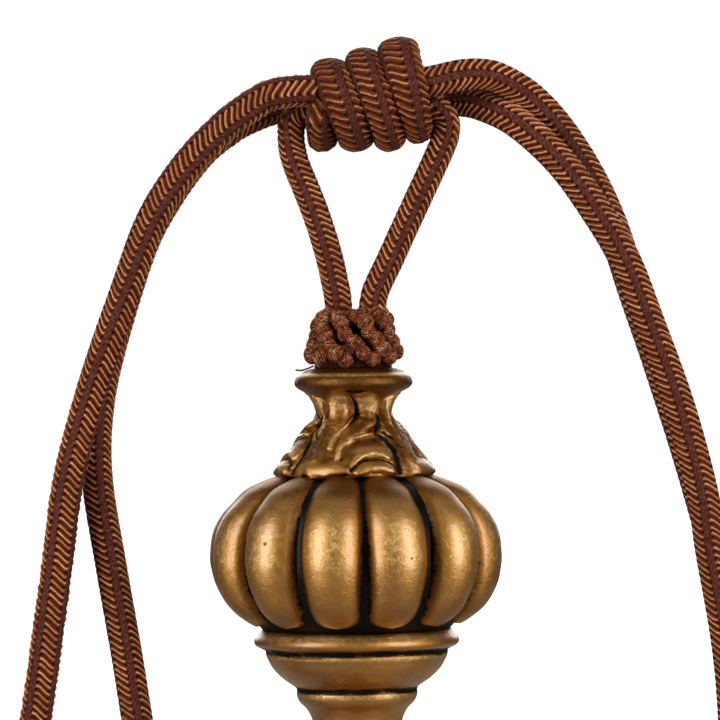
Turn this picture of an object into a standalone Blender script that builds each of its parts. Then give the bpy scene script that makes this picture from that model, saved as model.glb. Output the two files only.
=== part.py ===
"""Curtain tieback tassel, hanging: a gilt moulded head with a fringe skirt under it, a plaited collar
on top, a V of two cords up to a barrel knot, and a long cord loop falling to each side of the knot.

Metres, +Z up, seen from -Y. The origin is the top of the knot, where the tassel is held up.
"""
import math

import bmesh
import bpy
from mathutils import Matrix, Vector

MILLIMETRE = 0.001

# Cords, and how far apart the points of their tubes lie, in diameters.
CORD_DIAMETER = 0.008
LEG_DIAMETER = 0.0072
LOOP_POINT_SPACING = 1.45
LEG_POINT_SPACING = 0.5
SEAT_GAP = 0.0003

# Barrel knot: its turns, wound round a core.
WINDING_DIAMETER = 0.0066
WINDING_DEPTH = 0.0091
STEPS_PER_HALF_TURN = 9
CORE_RADIUS = 0.0072
CORE_START = Vector((-0.0110, 0.0, -0.0172))
CORE_END = Vector((0.0176, 0.0, -0.0140))
CORE_SIDES = 24
# Where the winding dives into the core, from its first and last crossings.
WINDING_DIVE_IN = Vector((0.0, -0.0058, 0.0035))
WINDING_DIVE_OUT = Vector((0.0010, 0.0062, 0.0042))

# The tassel hangs from the foot of the V, a little out of plumb.
TASSEL_TOP = Vector((-0.0009, 0.0, -0.0680))
TASSEL_LEAN = math.radians(-0.72)
SHARP_EDGE = math.radians(40)

# Plaited collar.
COLLAR_HEIGHT = 0.0136
COLLAR_TOP_RADIUS = 0.0104
COLLAR_FOOT_RADIUS = 0.0121
COLLAR_STRANDS = 5
COLLAR_STRAND_CLIMB = 1.5 * math.pi
COLLAR_RELIEF = 0.0022
COLLAR_EDGE_TUCK = 0.0012
COLLAR_ROWS = 10
COLLAR_STEPS = 40

# Moulded head.
LOBES = 12
LOBE_TURN = math.radians(4.4)
LOBE_RADIUS = 0.0370
HEAD_STEPS = 48

# Fringe skirt.
SKIRT_STRANDS = 44
SKIRT_RELIEF = 0.0010
SKIRT_LENGTH = 0.118

# Each winding row is one half turn's end: where the cord crosses the top or the foot of the knot.
# Columns: x, z of the cord's centre, in millimetres. Foot and top crossings take turns.
WINDING_CROSSINGS = [
    (-8.4, -25.7),
    (-6.8, -8.6),
    (0.0, -25.9),
    (1.6, -6.0),
    (8.4, -25.8),
    (10.4, -3.3),
    (15.5, -23.7),
]

# Cord routes, chosen by hand along each cord. Columns: x, y, z in millimetres.
LOOP_LEFT_ROUTE = [
    (-12.6, -6.8, -13.9),
    (-18.0, -6.6, -14.4),
    (-22.6, -6.2, -15.7),
    (-28.9, -5.4, -19.7),
    (-34.1, -4.8, -24.0),
    (-42.2, -4.4, -32.6),
    (-50.7, -4.3, -45.8),
    (-57.2, -4.3, -63.3),
    (-65.4, -4.3, -87.2),
    (-71.6, -4.2, -110.8),
    (-74.7, -4.0, -134.0),
    (-78.4, -3.5, -161.0),
    (-82.5, -3.0, -190.0),
    (-86.4, -2.4, -235.0),
    (-89.2, -1.8, -285.0),
    (-90.0, -1.3, -320.0),
    (-89.0, -1.0, -343.0),
    (-82.6, -0.6, -358.0),
    (-67.6, 0.0, -364.4),
    (-52.6, 0.6, -358.0),
    (-46.2, 1.0, -343.0),
    (-45.4, 1.3, -320.0),
    (-46.0, 1.8, -285.0),
    (-48.4, 2.4, -235.0),
    (-52.4, 3.2, -190.0),
    (-56.5, 3.8, -161.0),
    (-61.2, 4.1, -134.0),
    (-64.8, 4.3, -112.0),
    (-64.9, 4.4, -96.0),
    (-62.1, 4.5, -80.0),
    (-54.5, 4.5, -54.8),
    (-48.3, 4.6, -42.0),
    (-39.6, 5.0, -29.8),
    (-31.8, 5.8, -23.1),
    (-26.0, 6.8, -19.9),
    (-19.8, 7.8, -17.6),
    (-12.6, 8.3, -15.9),
]
LOOP_RIGHT_ROUTE = [
    (21.3, -5.4, -11.2),
    (25.5, -4.6, -10.2),
    (30.3, -3.4, -9.6),
    (35.7, -1.6, -10.3),
    (43.9, 1.6, -14.8),
    (51.6, 3.4, -23.0),
    (58.5, 4.3, -34.7),
    (64.2, 4.5, -47.0),
    (69.6, 4.5, -63.5),
    (75.8, 4.5, -81.5),
    (83.0, 4.5, -104.0),
    (89.0, 4.6, -125.0),
    (94.2, 4.9, -146.0),
    (98.0, 5.8, -170.0),
    (103.5, 8.6, -205.0),
    (108.5, 12.0, -250.0),
    (111.6, 14.4, -290.0),
    (112.2, 14.8, -320.0),
    (111.4, 14.0, -337.0),
    (108.4, 9.8, -350.0),
    (101.6, 0.0, -356.0),
    (94.8, -9.8, -350.0),
    (91.8, -14.0, -337.0),
    (91.0, -14.8, -320.0),
    (91.6, -14.4, -290.0),
    (93.4, -12.0, -250.0),
    (94.9, -8.6, -205.0),
    (94.0, -5.8, -170.0),
    (92.2, -4.8, -150.0),
    (88.4, -4.3, -128.2),
    (86.2, -4.2, -113.5),
    (80.5, -4.2, -92.5),
    (73.2, -4.2, -72.2),
    (66.9, -4.2, -55.9),
    (59.2, -4.1, -43.2),
    (50.1, -3.6, -31.7),
    (39.6, -0.4, -22.2),
    (31.2, 3.9, -17.5),
    (26.0, 6.2, -15.8),
    (21.3, 7.4, -15.4),
]
LEG_LEFT_ROUTE = [
    (-15.5, -0.2, -20.9),
    (-16.2, -0.3, -24.6),
    (-15.9, -0.3, -28.6),
    (-14.6, -0.4, -33.0),
    (-12.7, -0.4, -37.6),
    (-10.2, -0.4, -44.0),
    (-8.2, -0.3, -50.0),
    (-6.5, -0.2, -56.0),
    (-5.2, -0.1, -62.0),
    (-4.6, 0.0, -65.2),
    (-4.4, 0.0, -66.9),
]
LEG_RIGHT_ROUTE = [
    (22.4, -0.6, -20.6),
    (22.8, -0.6, -24.4),
    (21.4, -0.6, -28.5),
    (18.4, -0.5, -34.5),
    (15.6, -0.4, -40.5),
    (11.2, -0.3, -50.0),
    (8.5, -0.2, -56.0),
    (5.6, -0.1, -62.0),
    (4.5, 0.0, -65.2),
    (4.1, 0.0, -66.6),
]

# Outline of the head above and below the melon.
# Columns: drop below the collar's top, radius, in millimetres.
NECK_OUTLINE = [
    (13.9, 9.4),
    (15.0, 9.4),
    (15.4, 11.6),
    (16.4, 13.8),
    (17.9, 14.8),
    (19.4, 14.6),
    (20.9, 12.4),
    (22.6, 10.3),
    (25.0, 8.9),
    (27.2, 9.0),
    (29.0, 10.6),
    (31.2, 12.6),
    (33.4, 14.4),
    (36.2, 16.8),
    (39.6, 19.1),
    (42.4, 20.0),
]
BOWL_OUTLINE = [
    (80.4, 23.6),
    (81.4, 24.6),
    (83.0, 25.5),
    (84.6, 24.6),
    (85.4, 22.8),
    (87.5, 22.3),
    (90.0, 20.9),
    (92.4, 18.5),
    (94.4, 15.6),
    (96.4, 15.1),
    (98.2, 14.4),
    (100.2, 12.5),
    (103.0, 11.2),
    (107.0, 10.6),
    (111.0, 11.2),
    (113.0, 13.0),
    (115.2, 13.4),
    (116.6, 12.6),
    (119.0, 15.4),
    (123.0, 19.4),
    (127.5, 21.9),
    (131.0, 22.8),
    (133.2, 22.8),
    (134.0, 22.0),
]

# Outline of the melon over its lobes.
# Columns: drop below the collar's top, share of the lobes' full radius, depth of the grooves as a share.
MELON_OUTLINE = [
    (43.6, 0.62, 0.03),
    (45.2, 0.74, 0.07),
    (48.0, 0.84, 0.10),
    (51.5, 0.92, 0.12),
    (56.0, 0.98, 0.13),
    (62.0, 1.00, 0.13),
    (67.5, 0.98, 0.13),
    (72.0, 0.92, 0.13),
    (75.5, 0.84, 0.12),
    (78.0, 0.75, 0.09),
    (79.6, 0.66, 0.03),
]

# Columns: drop below the skirt's top as a share of its length, radius in millimetres.
SKIRT_OUTLINE = [
    (0.0, 20.0),
    (0.08, 21.0),
    (0.3, 22.4),
    (0.6, 24.2),
    (0.85, 25.6),
    (1.0, 26.2),
]


def clear_scene():
    for scene_object in list(bpy.data.objects):
        bpy.data.objects.remove(scene_object, do_unlink=True)


def make_material(name, color, roughness, metallic):
    material = bpy.data.materials.new(name)
    material.use_nodes = True
    shader = material.node_tree.nodes["Principled BSDF"]
    shader.inputs["Base Color"].default_value = (*color, 1.0)
    shader.inputs["Roughness"].default_value = roughness
    shader.inputs["Metallic"].default_value = metallic
    return material


def add_to(collection, name, data, material=None):
    item = bpy.data.objects.new(name, data)
    collection.objects.link(item)
    if material is not None:
        data.materials.append(material)
    return item


def in_metres(points):
    return [Vector(point) * MILLIMETRE for point in points]


def smooth_route(points, spacing, samples_per_span=24):
    """Points at an even spacing along a smooth curve through the route's own points."""
    ends = [2 * points[0] - points[1]] + points + [2 * points[-1] - points[-2]]
    fine = []
    for before, start, end, after in zip(ends, ends[1:], ends[2:], ends[3:]):
        for sample in range(samples_per_span):
            t = sample / samples_per_span
            blend = 2 * start + (end - before) * t
            blend += (2 * before - 5 * start + 4 * end - after) * t * t
            blend += (3 * start - before - 3 * end + after) * t * t * t
            fine.append(blend / 2)
    fine.append(points[-1])
    lengths = [0.0]
    for start, end in zip(fine, fine[1:]):
        lengths.append(lengths[-1] + (end - start).length)
    count = max(2, round(lengths[-1] / spacing))
    route = []
    index = 0
    for step in range(count + 1):
        wanted = lengths[-1] * step / count
        while index < len(fine) - 2 and lengths[index + 1] < wanted:
            index += 1
        share = (wanted - lengths[index]) / (lengths[index + 1] - lengths[index])
        route.append(fine[index].lerp(fine[index + 1], min(share, 1.0)))
    return route


def add_tube(collection, name, route, diameter, sides_setting, material=None):
    curve = bpy.data.curves.new(name, "CURVE")
    curve.dimensions = "3D"
    curve.bevel_depth = diameter / 2
    curve.bevel_resolution = sides_setting
    curve.use_fill_caps = True
    spline = curve.splines.new("POLY")
    spline.points.add(len(route) - 1)
    for spline_point, place in zip(spline.points, route):
        spline_point.co = (*place, 1.0)
    return add_to(collection, name, curve, material)


def curve_to_mesh(collection, tube, material):
    """The tube as one welded mesh, so that it can be joined to another solid."""
    evaluated = tube.evaluated_get(bpy.context.evaluated_depsgraph_get())
    mesh = bpy.data.meshes.new_from_object(evaluated)
    mesh.name = tube.name
    welded = bmesh.new()
    welded.from_mesh(mesh)
    bmesh.ops.remove_doubles(welded, verts=welded.verts, dist=1e-6)
    welded.to_mesh(mesh)
    welded.free()
    mesh.materials.clear()
    name = tube.name
    place = tube.matrix_world.copy()
    bpy.data.objects.remove(tube, do_unlink=True)
    item = add_to(collection, name, mesh, material)
    item.matrix_world = place
    return item


def winding_route():
    """The knot's winding: round the front on the way down, and behind on the way up."""
    crossings = [Vector((x, 0.0, z)) * MILLIMETRE for x, z in WINDING_CROSSINGS]
    depth = WINDING_DEPTH
    route = []
    for index, (start, end) in enumerate(zip(crossings, crossings[1:])):
        side = 1 if end.z > start.z else -1
        for step in range(STEPS_PER_HALF_TURN):
            angle = math.pi * step / STEPS_PER_HALF_TURN
            share = (1 - math.cos(angle)) / 2
            place = start.lerp(end, share)
            place.y = side * depth * math.sin(angle)
            route.append(place)
    route.append(crossings[-1])
    return [route[0] + WINDING_DIVE_IN] + route + [route[-1] + WINDING_DIVE_OUT]


def build_knot(collection, cutters, material):
    winding = add_tube(collection, "knot", winding_route(), WINDING_DIAMETER, 3)
    bpy.context.view_layer.update()
    knot = curve_to_mesh(collection, winding, material)
    core_mesh = bpy.data.meshes.new("knot_core")
    shape = bmesh.new()
    length = (CORE_END - CORE_START).length
    bmesh.ops.create_cone(
        shape, cap_ends=True, segments=CORE_SIDES, radius1=CORE_RADIUS, radius2=CORE_RADIUS, depth=length
    )
    shape.to_mesh(core_mesh)
    shape.free()
    core = add_to(cutters, "knot_core", core_mesh)
    core.location = (CORE_START + CORE_END) / 2
    core.rotation_mode = "QUATERNION"
    core.rotation_quaternion = (CORE_END - CORE_START).to_track_quat("Z", "Y")
    core.hide_render = True
    core.display_type = "WIRE"
    union = knot.modifiers.new("core", "BOOLEAN")
    union.operation = "UNION"
    union.solver = "EXACT"
    union.object = core
    return knot


def turned_body(outline, steps):
    """A bmesh turned round Z from (radius, height) pairs, closed at the top and the foot."""
    shape = bmesh.new()
    previous = None
    edges = []
    for radius, height in outline:
        vertex = shape.verts.new((radius, 0.0, height))
        if previous is not None:
            edges.append(shape.edges.new((previous, vertex)))
        previous = vertex
    profile = list(shape.verts) + edges
    bmesh.ops.spin(
        shape, geom=profile, axis=(0, 0, 1), cent=(0, 0, 0), angle=2 * math.pi, steps=steps, use_merge=True
    )
    bmesh.ops.remove_doubles(shape, verts=shape.verts, dist=1e-6)
    bmesh.ops.holes_fill(shape, edges=[edge for edge in shape.edges if edge.is_boundary], sides=0)
    bmesh.ops.recalc_face_normals(shape, faces=shape.faces)
    return shape


def place_on_tassel(item):
    item.location = TASSEL_TOP
    item.rotation_euler = (0.0, TASSEL_LEAN, 0.0)
    item.data.shade_smooth()
    item.data.set_sharp_from_angle(angle=SHARP_EDGE)
    return item


def build_collar(collection, material):
    outline = []
    for row in range(COLLAR_ROWS + 1):
        share = row / COLLAR_ROWS
        tuck = COLLAR_EDGE_TUCK * (1 - math.sqrt(math.sin(math.pi * share)))
        radius = COLLAR_TOP_RADIUS + (COLLAR_FOOT_RADIUS - COLLAR_TOP_RADIUS) * share
        outline.append((radius - tuck, -COLLAR_HEIGHT * share))
    shape = turned_body(outline, COLLAR_STEPS)
    for vertex in shape.verts:
        climb = COLLAR_STRAND_CLIMB * -vertex.co.z / COLLAR_HEIGHT
        turn = math.atan2(vertex.co.y, vertex.co.x) * COLLAR_STRANDS / 2
        strand = max(abs(math.cos(turn + climb)), abs(math.cos(turn - climb)))
        flat_radius = math.hypot(vertex.co.x, vertex.co.y)
        factor = 1 - COLLAR_RELIEF * (1 - strand) / flat_radius
        vertex.co.x *= factor
        vertex.co.y *= factor
    mesh = bpy.data.meshes.new("collar")
    shape.to_mesh(mesh)
    shape.free()
    return place_on_tassel(add_to(collection, "collar", mesh, material))


def lobe_share(angle, groove):
    """Radius round the melon: full on a lobe's crest, and less by the groove's share between lobes."""
    across = (angle * LOBES / (2 * math.pi)) % 1.0 - 0.5
    crown = math.sqrt(max(0.0, 1 - (2 * across) ** 2))
    return 1 - groove * (1 - crown)


def build_head(collection, material):
    melon = [(drop, share * LOBE_RADIUS / MILLIMETRE, groove) for drop, share, groove in MELON_OUTLINE]
    outline = [(radius, drop, 0.0) for drop, radius in NECK_OUTLINE]
    outline += [(radius, drop, groove) for drop, radius, groove in melon]
    outline += [(radius, drop, 0.0) for drop, radius in BOWL_OUTLINE]
    heights = [(radius * MILLIMETRE, -drop * MILLIMETRE) for radius, drop, groove in outline]
    grooves = {round(drop, 1): groove for radius, drop, groove in outline}
    shape = turned_body(heights, HEAD_STEPS)
    for vertex in shape.verts:
        groove = grooves[round(-vertex.co.z / MILLIMETRE, 1)]
        factor = lobe_share(math.atan2(vertex.co.y, vertex.co.x), groove)
        vertex.co.x *= factor
        vertex.co.y *= factor
    front_groove = Matrix.Rotation(LOBE_TURN - math.pi / 2, 3, "Z")
    bmesh.ops.transform(shape, matrix=front_groove, verts=shape.verts, space=Matrix.Identity(4))
    mesh = bpy.data.meshes.new("head")
    shape.to_mesh(mesh)
    shape.free()
    return place_on_tassel(add_to(collection, "head", mesh, material))


def build_skirt(collection, material):
    top = -BOWL_OUTLINE[-1][0] * MILLIMETRE - SEAT_GAP
    outline = [(radius * MILLIMETRE, top - share * SKIRT_LENGTH) for share, radius in SKIRT_OUTLINE]
    shape = turned_body(outline, 2 * SKIRT_STRANDS)
    for vertex in shape.verts:
        angle = math.atan2(vertex.co.y, vertex.co.x)
        valley = round(angle / math.pi * SKIRT_STRANDS) % 2
        flat_radius = math.hypot(vertex.co.x, vertex.co.y)
        factor = 1 - valley * SKIRT_RELIEF / flat_radius
        vertex.co.x *= factor
        vertex.co.y *= factor
    mesh = bpy.data.meshes.new("skirt")
    shape.to_mesh(mesh)
    shape.free()
    return place_on_tassel(add_to(collection, "skirt", mesh, material))


def build_cords(collection, material):
    loops = [("loop_left", LOOP_LEFT_ROUTE), ("loop_right", LOOP_RIGHT_ROUTE)]
    for name, points in loops:
        route = smooth_route(in_metres(points), LOOP_POINT_SPACING * CORD_DIAMETER)
        add_tube(collection, name, route, CORD_DIAMETER, 2, material)
    legs = [("leg_left", LEG_LEFT_ROUTE), ("leg_right", LEG_RIGHT_ROUTE)]
    for name, points in legs:
        route = smooth_route(in_metres(points), LEG_POINT_SPACING * LEG_DIAMETER)
        add_tube(collection, name, route, LEG_DIAMETER, 2, material)


def main():
    clear_scene()
    scene_root = bpy.context.scene.collection
    tieback = bpy.data.collections.new("curtain_tieback_tassel")
    cutters = bpy.data.collections.new("cutters")
    scene_root.children.link(tieback)
    scene_root.children.link(cutters)
    rope = make_material("copper_maroon_cord", (0.20, 0.07, 0.04), 0.6, 0.0)
    winding = make_material("knot_cord", (0.22, 0.08, 0.04), 0.6, 0.0)
    plait = make_material("plaited_collar", (0.24, 0.08, 0.05), 0.6, 0.0)
    gilt = make_material("antique_gilt", (0.45, 0.26, 0.08), 0.4, 0.9)
    fringe = make_material("fringe_yarn", (0.20, 0.07, 0.04), 0.65, 0.0)
    build_knot(tieback, cutters, winding)
    build_cords(tieback, rope)
    build_collar(tieback, plait)
    build_head(tieback, gilt)
    build_skirt(tieback, fringe)


main()
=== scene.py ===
import math

import bmesh
import bpy
import numpy as np
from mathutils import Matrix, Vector


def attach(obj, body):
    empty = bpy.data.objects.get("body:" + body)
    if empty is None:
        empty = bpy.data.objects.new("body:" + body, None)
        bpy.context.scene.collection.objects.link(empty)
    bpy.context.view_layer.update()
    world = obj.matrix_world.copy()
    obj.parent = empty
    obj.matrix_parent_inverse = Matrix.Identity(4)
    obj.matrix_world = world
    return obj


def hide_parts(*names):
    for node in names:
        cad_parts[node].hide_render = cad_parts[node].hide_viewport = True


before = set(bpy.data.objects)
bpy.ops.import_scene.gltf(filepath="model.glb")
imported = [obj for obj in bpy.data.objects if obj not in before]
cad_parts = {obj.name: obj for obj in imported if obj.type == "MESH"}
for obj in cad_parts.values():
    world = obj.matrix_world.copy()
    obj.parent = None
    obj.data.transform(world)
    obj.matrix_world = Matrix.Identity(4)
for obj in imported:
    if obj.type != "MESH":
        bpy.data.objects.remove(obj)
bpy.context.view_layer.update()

bl_info = {
    "name": "Curtain Tieback Tassel",
    "version": (1, 0, 0),
    "blender": (4, 5, 0),
    "location": "View3D > Sidebar > Tassel",
    "description": "Dresses the packed tieback tassel with braided cord, gilt casting and fringe",
    "category": "Object",
}

MM = 0.001
FRONT = np.array((0.0, -1.0, 0.0))  # the way that the front faces

# ---------------------------------------------------------------- the cord
BANDS = 4  # copper bands round the cord, with a dark one between each pair
DARK_COLUMNS = 3  # mesh columns of a dark band
BAND_COLUMNS = 8  # mesh columns of one dark band and one copper band together
DARK_SHARE = 0.40  # share of the way round that a dark band takes of that pair
ROWS_PER_RIB = 6  # mesh rows of a rib
RIB_SHARPNESS = 1.5  # power of a rib's section: 1 is a plain ridge, more makes its top narrower
RIB_SHIFT = 0.18  # how far a rib strays along the cord, in ribs
RIB_LOSS = 0.35  # share of its height that the flattest rib has lost
DARK_HEIGHT = (0.50, 0.30)  # height of a dark band in ribs: its level part, and what follows the ribs
HIDDEN_TAPER = 4.0  # mm at each end over which the ribs straighten
PLY_COUNT = 4  # fine plies that show on a rib
VALLEY_SHADE = (0.058, 0.0085, 0.0013)  # painted shade: the dark colour between two ribs, also used in the valleys of laid yarn
YARN_GLOSS = (1.0, 0.62, 0.38, 1.0)  # tint of the yarn's shine
OLD_THREAD = (0.62, 0.33, 0.10)  # the yellower yarn in some of the ribs
PALE_THREAD_AND_GLINT = (0.95, 0.58, 0.31)  # worn threads of the collar, and painted glints on its crests
DIM = (0.050, 0.012, 0.006)  # colour that the cord falls back to where it is dimmed at random, and on the knot as painted shade
STITCH_LIGHT = (0.19, 0.085, 0.075)  # bright specks in the dark bands
STITCH_HOLE_SHADE = (0.006, 0.002, 0.001)  # painted shade in the holes along the edges of the dark bands

# Routes in mm: x, y, z. The first and last few points of each are hidden in the knot or the collar.
LOOP_LEFT = [
    (-4.0, -1.6, -13.6), (-9.0, -3.9, -13.6), (-12.6, -5.8, -13.9), (-18.0, -6.5, -14.4),
    (-22.6, -6.2, -15.7), (-28.9, -5.4, -19.7), (-34.1, -4.8, -24.0), (-42.2, -4.4, -32.6),
    (-50.7, -4.3, -45.8), (-57.2, -4.3, -63.3), (-65.4, -4.3, -87.2), (-71.6, -4.2, -110.8),
    (-74.7, -4.0, -134.0), (-78.4, -3.5, -161.0), (-82.5, -3.0, -190.0), (-86.4, -2.4, -235.0),
    (-89.2, -1.8, -285.0), (-90.0, -1.3, -320.0), (-89.0, -1.0, -343.0), (-82.6, -0.6, -358.0),
    (-67.6, 0.0, -364.4), (-52.6, 0.6, -358.0), (-46.2, 1.0, -343.0), (-45.4, 1.3, -320.0),
    (-46.0, 1.8, -285.0), (-48.4, 2.4, -235.0), (-52.4, 3.2, -190.0), (-56.5, 3.8, -161.0),
    (-61.2, 4.1, -134.0), (-64.8, 4.3, -112.0), (-64.9, 4.4, -96.0), (-62.1, 4.5, -80.0),
    (-54.5, 4.5, -54.8), (-48.3, 4.6, -42.0), (-39.6, 5.0, -29.8), (-31.8, 5.8, -23.1),
    (-26.0, 6.8, -19.9), (-19.8, 7.8, -17.6), (-12.6, 8.3, -15.9), (-8.5, 7.4, -15.2),
    (-4.0, 5.4, -15.0),
]
LOOP_RIGHT = [
    (12.5, -4.2, -13.4), (17.2, -5.5, -12.1), (21.3, -5.4, -11.2), (25.5, -4.6, -10.2),
    (30.3, -3.4, -9.8), (35.6, -1.6, -10.7), (43.6, 1.6, -15.3), (51.2, 3.4, -23.4),
    (58.5, 4.3, -34.7), (64.2, 4.5, -47.0), (69.6, 4.5, -63.5), (75.8, 4.5, -81.5),
    (83.0, 4.5, -104.0), (89.0, 4.6, -125.0), (94.2, 4.9, -146.0), (98.0, 5.8, -170.0),
    (103.5, 8.6, -205.0), (108.5, 12.0, -250.0), (111.6, 14.4, -290.0), (112.2, 14.8, -320.0),
    (111.4, 14.0, -337.0), (108.4, 9.8, -350.0), (101.6, 0.0, -356.0), (94.8, -9.8, -350.0),
    (91.8, -14.0, -337.0), (91.0, -14.8, -320.0), (91.6, -14.4, -290.0), (93.4, -12.0, -250.0),
    (94.9, -8.6, -205.0), (94.0, -5.8, -170.0), (92.2, -4.8, -150.0), (88.4, -4.3, -128.2),
    (86.2, -4.2, -113.5), (80.5, -4.2, -92.5), (73.2, -4.2, -72.2), (66.9, -4.2, -55.9),
    (59.3, -4.1, -43.0), (50.6, -3.6, -31.2), (40.1, -0.4, -21.5), (31.4, 3.9, -17.0),
    (26.0, 6.2, -15.8), (21.3, 7.4, -15.4), (17.0, 7.0, -15.0), (12.5, 5.2, -14.6),
]
LEG_LEFT = [
    (-11.6, 0.0, -17.2), (-15.5, -0.2, -20.9), (-16.2, -0.3, -24.6), (-15.9, -0.3, -28.6),
    (-14.6, -0.4, -33.0), (-12.7, -0.4, -37.6), (-10.2, -0.4, -44.0), (-8.2, -0.3, -50.0),
    (-6.5, -0.2, -56.0), (-5.2, -0.1, -62.0), (-4.6, 0.0, -65.2), (-4.1, 0.0, -70.5),
]
LEG_RIGHT = [
    (18.6, -0.4, -16.6), (22.2, -0.6, -20.6), (22.5, -0.6, -24.4), (21.1, -0.6, -28.5),
    (18.4, -0.5, -34.5), (15.6, -0.4, -40.5), (11.2, -0.3, -50.0), (8.5, -0.2, -56.0),
    (5.6, -0.1, -62.0), (4.5, 0.0, -65.2), (3.8, 0.0, -70.5),
]
# Each free cord: node, route, diameter mm, where it leaves the object (mm), its length with the ends that
# are tucked in (m), and the turn of its bands: degrees at a distance in mm along it.
CORDS = [
    ("loop_left", LOOP_LEFT, 8.25, (-12.6, -5.8, -13.9), 0.790,
     ((0, -38), (25, -33), (45, -25), (65, -12), (85, 2), (105, 13), (125, 22), (145, 27), (165, 31),
      (185, 31), (400, 20), (600, 10), (650, 14), (700, 20), (760, 20), (790, 10))),
    ("loop_right", LOOP_RIGHT, 8.3, (21.3, -5.4, -11.2), 0.784,
     ((0, 3), (20, 0), (60, -4), (200, -10), (600, -6), (640, -8), (680, 4), (720, 4), (760, 6), (785, 6))),
    ("leg_left", LEG_LEFT, 7.2, (-15.5, -0.2, -20.9), 0.056, ((0, 50), (5, 36), (10, 20), (20, 11), (55, 9))),
    ("leg_right", LEG_RIGHT, 7.2, (22.2, -0.6, -20.6), 0.058, ((0, -14), (10, -10), (55, -8))),
]

# The knot's winding. Where it crosses the knot's side line (x, z in mm), foot and top in turn,
# with the half width of the flattened cord there.
WINDING = [
    (-8.4, -25.7, 3.6), (-6.8, -8.6, 4.9), (0.0, -25.9, 4.7), (1.6, -6.0, 4.6),
    (8.4, -25.8, 4.2), (10.4, -3.3, 5.4), (15.5, -23.7, 3.6),
]
WINDING_DEPTH = 9.1  # mm from the knot's side line to the middle of the cord in front of it
WINDING_HALF_THICKNESS = 3.3  # mm
WINDING_TURN = -18  # degrees that the winding's bands are turned from facing out
WINDING_STEPS = 9  # route points of each crossing, in front or behind
WIDTH_STEPS = 200  # evenly spaced widths that the winding is made with
WINDING_START = [(-4.5, -1.8, -10.5), (-7.2, -4.4, -15.0), (-9.0, -6.2, -21.0)]
WINDING_END = [(16.6, 6.4, -19.0), (15.0, 7.0, -14.0)]
# The knot's core, a ball stretched along its line: ends of the line in mm, radius in mm and stretch.
CORE_LINE = ((-11.0, 0.0, -17.2), (17.6, 0.0, -14.0))
CORE_RADIUS = 7.6
CORE_STRETCH = (2.2, 1.0, 1.1)


# ---------------------------------------------------------------- settings
class TasselCordSettings(bpy.types.PropertyGroup):
    rib_pitch: bpy.props.FloatProperty(
        name="Rib pitch", description="Distance from one rib of the cord to the next",
        default=0.00175, min=0.001, max=0.005, unit="LENGTH",
    )
    rib_height: bpy.props.FloatProperty(
        name="Rib height", description="How far a copper rib stands above its valley",
        default=0.00065, min=0.0, max=0.001, unit="LENGTH",
    )
    rib_slant: bpy.props.FloatProperty(
        name="Rib slant", description="Angle between a rib and the line of the cord",
        default=math.radians(60), min=math.radians(30), max=math.radians(90), subtype="ANGLE",
    )
    # copper shows on the top of each copper rib as the yarn's colour with a painted highlight; rust is the
    # flank under it
    copper: bpy.props.FloatVectorProperty(
        name="Copper yarn", description="Colour of the top of a copper rib",
        default=(0.95, 0.47, 0.25), size=3, min=0, max=1, subtype="COLOR",
    )
    rust: bpy.props.FloatVectorProperty(
        name="Rust yarn", description="Colour of the flank of a copper rib",
        default=(0.20, 0.040, 0.009), size=3, min=0, max=1, subtype="COLOR",
    )
    maroon: bpy.props.FloatVectorProperty(
        name="Maroon yarn", description="Colour of the dark bands",
        default=(0.125, 0.030, 0.021), size=3, min=0, max=1, subtype="COLOR",
    )


class TasselGiltSettings(bpy.types.PropertyGroup):
    gold: bpy.props.FloatVectorProperty(
        name="Gold", description="Colour of the gilt where it is clean",
        default=(0.52, 0.238, 0.027), size=3, min=0, max=1, subtype="COLOR",
    )
    old_gold: bpy.props.FloatVectorProperty(
        name="Old gold", description="Colour of the gilt where it has browned",
        default=(0.35, 0.142, 0.018), size=3, min=0, max=1, subtype="COLOR",
    )
    # bright_gold is the colour of painted highlights and of rubbed wear alike
    bright_gold: bpy.props.FloatVectorProperty(
        name="Bright gold", description="Colour of rubbed spots",
        default=(0.93, 0.64, 0.27), size=3, min=0, max=1, subtype="COLOR",
    )
    # glaze_and_shade is the colour of the glaze, also laid on the lobes as painted shade
    glaze_and_shade: bpy.props.FloatVectorProperty(
        name="Glaze", description="Colour of the gilt under the brown glaze",
        default=(0.19, 0.072, 0.011), size=3, min=0, max=1, subtype="COLOR",
    )
    wax: bpy.props.FloatVectorProperty(
        name="Dark wax", description="Colour of the antiquing in the hollows",
        default=(0.010, 0.007, 0.005), size=3, min=0, max=1, subtype="COLOR",
    )


class TasselStageSettings(bpy.types.PropertyGroup):
    floor_drop: bpy.props.FloatProperty(
        name="Floor drop", description="Height of the floor under the mount that holds the tassel",
        default=-0.46, min=-2.0, max=-0.4, unit="LENGTH",
    )
    light_power: bpy.props.FloatProperty(
        name="Light", description="Power of each of the two front soft lights in watts",
        default=11.6, min=0.0, max=500.0,
    )
    fill: bpy.props.FloatProperty(
        name="Fill", description="Strength of the light from all round",
        default=0.13, min=0.0, max=2.0,
    )


# ---------------------------------------------------------------- node helpers
def feed(tree, node, values):
    """Gives the node's inputs their values, and links those whose value is a socket. Values are pairs of an
    input's name or number and its value."""
    for name, value in values:
        if isinstance(value, bpy.types.NodeSocket):
            tree.links.new(value, node.inputs[name])
        else:
            node.inputs[name].default_value = value


def add_node(tree, kind, inputs=(), **settings):
    node = tree.nodes.new(kind)
    for name, value in settings.items():
        setattr(node, name, value)
    feed(tree, node, inputs)
    return node


def maths(tree, operation, *values):
    return add_node(tree, "ShaderNodeMath", enumerate(values), operation=operation).outputs[0]


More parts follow.
